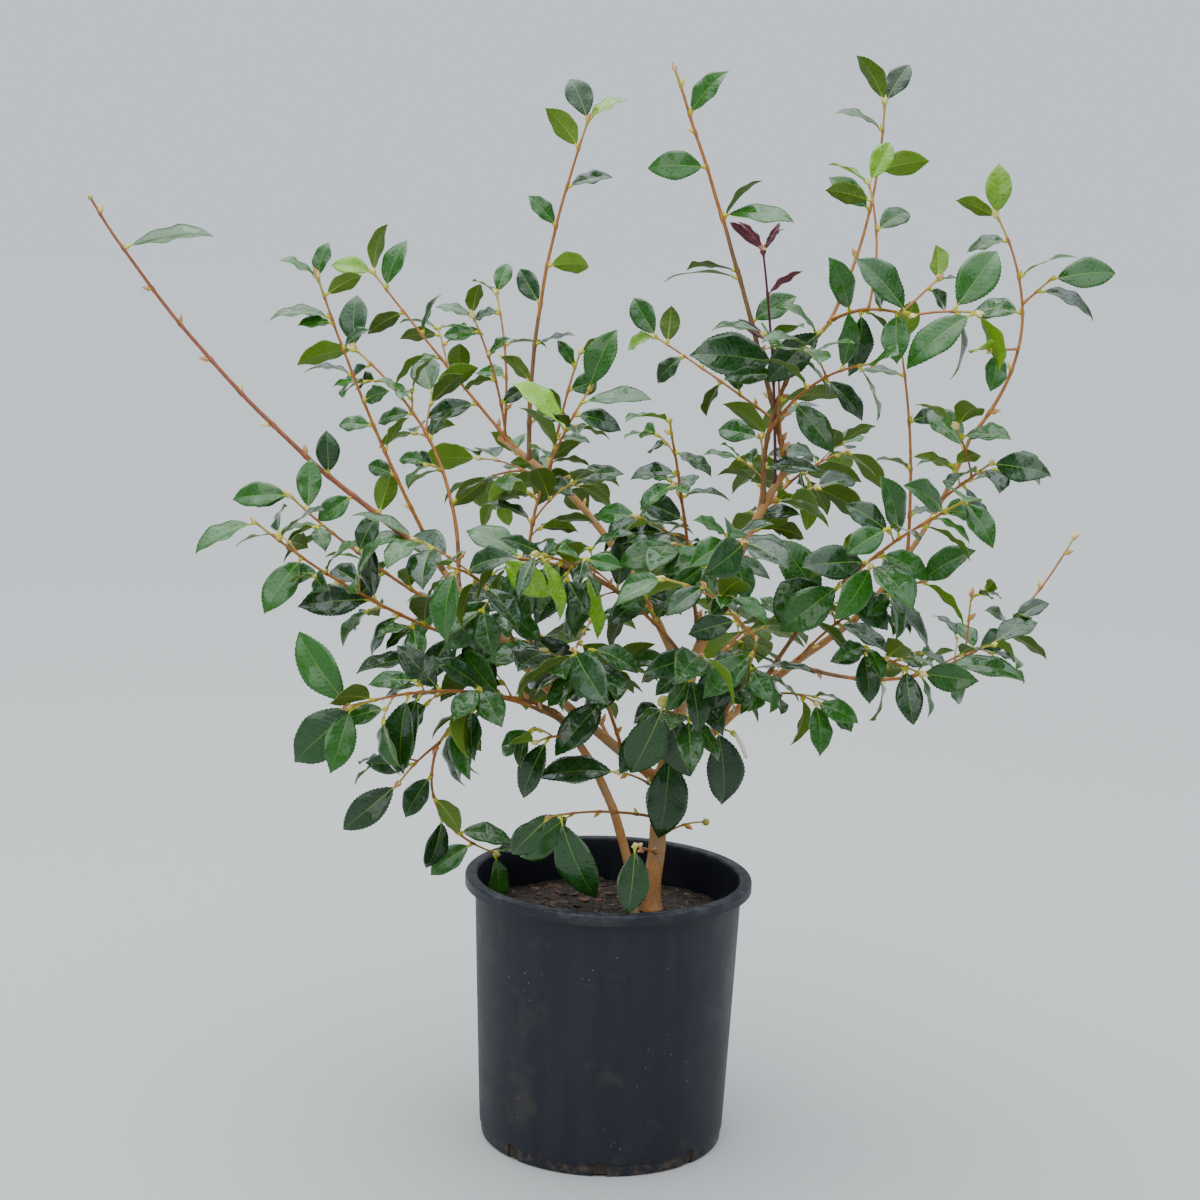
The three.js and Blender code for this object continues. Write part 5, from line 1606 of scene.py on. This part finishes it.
leaf_masses = {group: nodes - {"red_shoot"} for group, nodes in masses.items()}
leaf_masses["red"] = {"red_shoot"}
low_nodes = {name for name in leaf_masses["middle"] if point_on(limbs[name], 0).z < LOW_HEIGHT}
leaf_masses["low"] = low_nodes
leaf_masses["middle"] -= low_nodes
for group, nodes in leaf_masses.items():
    shapes, about, tints = [], [], []
    for leaf in (leaf for leaf in leaves if node_of(shoot_of(leaf.limb)) in nodes):
        random = seeded(leaf.seed + SKIN_SEED)
        age = leaf_age(leaf, random)
        skin = 2 * list(LEAF_SKINS).index(age)
        finish = [skin, skin + 1, RIB, MARGIN, UNDER_RIB, STALK]
        if age == "red":
            finish[2:] = [RED_RIB] * 4
        blade, blade_about, stalk = leaf_corners(leaf)
        shapes.append((blade, pattern_faces, [finish[kind] for kind in pattern_kinds]))
        shapes.append((stalk, stalk_faces, finish[5]))
        about += [blade_about, np.zeros((len(stalk), 3))]
        tints += [random()] * (len(blade) + len(stalk))
    notes = {"blade": np.concatenate(about), "tint": tints}
    made = joined_mesh(f"leaves_{group}", shapes, leaf_finishes, notes)
    made = add_object(f"leaves_{group}", made, smooth=True)
    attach(made, "root")
    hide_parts(*sorted(nodes))


# Buds: every leaf joint has a swollen yellow-green cushion, and most have a pointed bud of
# overlapping scales in the angle of the leaf stalk. Shoots end in a cluster of two or three
# longer cream ones, and the round ones are flower buds, wrapped in sepals.
CUSHION = (6.5, 4.6)
BUD_WIDTH = 0.48
BUD_SIDES = 6
BUD_PROFILE = [(0, 0.5), (0.14, 0.86), (0.34, 1), (0.58, 0.8), (0.8, 0.44), (0.95, 0.16), (1, 0.03)]
# Each scale: how far it stands out of the bud, and its length and width as shares.
BUD_SCALES = [(0, 1, 1), (0.22, 0.72, 0.82), (-0.22, 0.55, 0.84)]
SCALE_LEAN = 0.35
# Buds at leaf joints, at bare joints and at the tips: their length, and how far they stand off.
BUD_LENGTH = (5, 9)
BUD_LEAN = 0.7
BARE_BUD_LENGTH = (8, 12)
BARE_SPREAD = math.radians(42)
TIP_BUD_LENGTH = (8, 13)
TIP_BUD_SPREAD = 28
TIP_BUD_SINK = 1.5
FIRST_SPREAD = 5
SIDE_BUD_SIZE = 0.8
# How many leaf joints bear a bud, and how many buds are of the first of their two colours.
BUD_SHARE = 0.62
GREEN_BUDS = 0.6
CREAM_TIP_BUDS = 0.7
BUD_SEED = 900000
TIP_SEED = 950000
BARE_SEED = 960000
SEEDS_A_LIMB = 1000
# Flower buds: the shoot whose tip bears one, and its diameter.
FLOWER_BUDS = {"front_twig": 14, "low_right_twig": 9, "centre_spray": 6, "left_whip": 6}
FLOWER_BUD_MESH = (14, 20)
SEPALS = 5
SEPAL_ROWS = 3
SEPAL_STEP = 0.12
BUD_SKINS = {
    "leaf bud scales, yellow-green": "#b2b21e",
    "leaf bud scales, cream": "#e0cf86",
    "leaf bud scales, pinkish": "#c08a5c",
    "flower bud sepals, green": "#a3a348",
}
GREEN_SCALES, CREAM_SCALES, PINK_SCALES, FLOWER_SEPALS = range(len(BUD_SKINS))


def drop_shape(base, along, length, width, kind):
    """A pointed drop with its blunt end at base."""
    up, side = across(along)
    corners = []
    for share, wide in BUD_PROFILE:
        centre = base + along * (share * length)
        corners += [centre + out * (wide * width / 2) for _, out in round_about(side, up, BUD_SIDES)]
    rings = len(BUD_PROFILE) - 1
    return corners, ring_faces(rings, BUD_SIDES) + end_faces(rings, BUD_SIDES), kind


def pointed_bud(base, along, length, kind):
    """A core and two shorter scales that wrap it."""
    up, _ = across(along)
    width = BUD_WIDTH * length
    shapes = []
    for lean, long, wide in BUD_SCALES:
        aim = (along + up * (SCALE_LEAN * lean)).normalized()
        shapes.append(drop_shape(base + up * (lean * width), aim, length * long, width * wide, kind))
    return shapes


def flower_bud(centre, along, diameter):
    """A ball of overlapping sepals: each stands a little out of the one above it."""
    up, side = across(along)
    rows, columns = FLOWER_BUD_MESH
    corners = []
    for row in range(rows + 1):
        tilt = math.pi * row / rows
        for turn, out in round_about(side, up, columns):
            wave = (row / rows * SEPAL_ROWS + 0.5 * abs(math.sin(turn * SEPALS / 2))) % 1
            radius = diameter / 2 * (1 - SEPAL_STEP * wave) * (1 + 0.12 * (1 - row / rows) ** 3)
            corners.append(centre + (along * math.cos(tilt) + out * math.sin(tilt)) * radius)
    return corners, ring_faces(rows, columns, inward=True), FLOWER_SEPALS


bud_finishes = [sappy_skin(*row) for row in BUD_SKINS.items()]
for group, nodes in masses.items():
    bearing = nodes - {"red_shoot"}
    shapes = []
    for leaf in (leaf for leaf in leaves if node_of(shoot_of(leaf.limb)) in bearing):
        random = seeded(leaf.seed + BUD_SEED)
        joint = drawn_point(leaf.limb, leaf.share)
        width = radius_at(leaf.limb, leaf.share)
        base = joint + leaf.along * (0.3 * width)
        shapes.append(drop_shape(base, leaf.along, CUSHION[0] + width, CUSHION[1], GREEN_SCALES))
        if leaf.tuft or random() > BUD_SHARE:
            continue
        aim = (curve_along(leaf.limb, leaf.share) + leaf.along * BUD_LEAN).normalized()
        kind = GREEN_SCALES if random() < GREEN_BUDS else CREAM_SCALES
        shapes += pointed_bud(joint + aim * (0.8 * width), aim, within(BUD_LENGTH, random), kind)
    for limb in limbs.values():
        bare = limb.name in bough_names or " spur " in limb.name or limb.name in FLOWER_BUDS
        if bare or node_of(shoot_of(limb)) not in nodes:
            continue
        random = seeded(limb.key * SEEDS_A_LIMB + TIP_SEED)
        start = drawn_point(limb, 1) - curve_along(limb, 1) * TIP_BUD_SINK
        for order in range(2 + (random() < 0.5)):
            turn = math.radians(order * SPIRAL_TURN + 60 * random())
            aim = out_of(limb, 1, turn, math.radians(TIP_BUD_SPREAD if order else FIRST_SPREAD))
            length = within(TIP_BUD_LENGTH, random) * (SIDE_BUD_SIZE if order else 1)
            kind = CREAM_SCALES if random() < CREAM_TIP_BUDS else PINK_SCALES
            shapes += pointed_bud(start, aim, length, kind)
    for limb in (limbs[row[0]] for row in SHOOTS if node_of(row[0]) in bearing):
        random = seeded(limb.key * SEEDS_A_LIMB + BARE_SEED)
        for order, share in enumerate(limb.bare):
            turn = math.radians(right_of(curve_along(limb, share)) + 180 * (order % 2))
            aim = out_of(limb, share, turn, BARE_SPREAD)
            base = drawn_point(limb, share) + aim * (0.3 * radius_at(limb, share))
            shapes.append(drop_shape(base, aim, *CUSHION, GREEN_SCALES))
            length = within(BARE_BUD_LENGTH, random)
            kind = CREAM_SCALES if random() < 0.5 else PINK_SCALES
            shapes += pointed_bud(base + aim * 2.5, aim, length, kind)
    for name, diameter in FLOWER_BUDS.items():
        if node_of(name) in nodes:
            limb = limbs[name]
            shapes.append(flower_bud(drawn_point(limb, 1), curve_along(limb, 1), diameter))
    made = joined_mesh(f"buds_{group}", shapes, bud_finishes, {})
    made = add_object(f"buds_{group}", made, smooth=True)
    made.data.set_sharp_from_angle(angle=math.radians(50))
    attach(made, "root")
    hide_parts(*sorted(nodes))


# Spent bloom: on one short stalk low on the right a single cream petal of last season's
# flower is left, torn at its end and stiff, on its yellow-green base.
PETAL_LENGTH = 29
PETAL_WIDTH = 10
PETAL_THICKNESS = 0.7
PETAL_ROWS = 12
PETAL_COLUMNS = 6
PETAL_CUP = 2.2
PETAL_BEND = 4
PETAL_TEAR = 2.5
PETAL_STALK = (20, 3)
PETAL_BASE = (9, 7)
PETAL_LIMB = "front_right_spray"
PETAL_SHARE = 0.05
STALK_AIM = direction(-25, -12)
PETAL_AIM = direction(-20, -52)


def petal(start, along, kind):
    """A cupped strip that bends down along its length and is torn at its end."""
    up, side = across(along)
    corners = []
    for row in range(PETAL_ROWS + 1):
        share = row / PETAL_ROWS
        half_width = PETAL_WIDTH / 2 * (0.5 + 0.5 * math.sin(math.pi * (0.1 + 0.75 * share)))
        for face_side in (1, -1):
            for column in range(PETAL_COLUMNS + 1):
                reach = (2 * column / PETAL_COLUMNS - 1) * face_side
                tear = PETAL_TEAR * share**4 * math.sin(7 * reach)
                rise = PETAL_CUP * reach**2 - PETAL_BEND * share**2 + face_side * PETAL_THICKNESS / 2
                place = start + along * (share * PETAL_LENGTH + tear)
                corners.append(place + side * (reach * half_width) + up * rise)
    ring = 2 * (PETAL_COLUMNS + 1)
    return corners, end_faces(PETAL_ROWS, ring) + ring_faces(PETAL_ROWS, ring), kind


foot = drawn_point(limbs[PETAL_LIMB], PETAL_SHARE)
head = foot + STALK_AIM * PETAL_STALK[0]
shapes = [drop_shape(foot, STALK_AIM, PETAL_STALK[0] * 1.3, PETAL_STALK[1], 0)]
shapes.append(drop_shape(head - PETAL_AIM * 2, PETAL_AIM, *PETAL_BASE, 0))
shapes.append(petal(head + PETAL_AIM * 2, PETAL_AIM, 1))
petal_finishes = [bud_finishes[0], sappy_skin("dry camellia petal, cream", "#f2ead0")]
spent_bloom = joined_mesh("spent_bloom", shapes, petal_finishes, {})
spent_bloom = add_object("spent_bloom", spent_bloom, smooth=True)
spent_bloom.data.set_sharp_from_angle(angle=math.radians(60))
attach(spent_bloom, "root")
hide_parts(node_of(PETAL_LIMB))
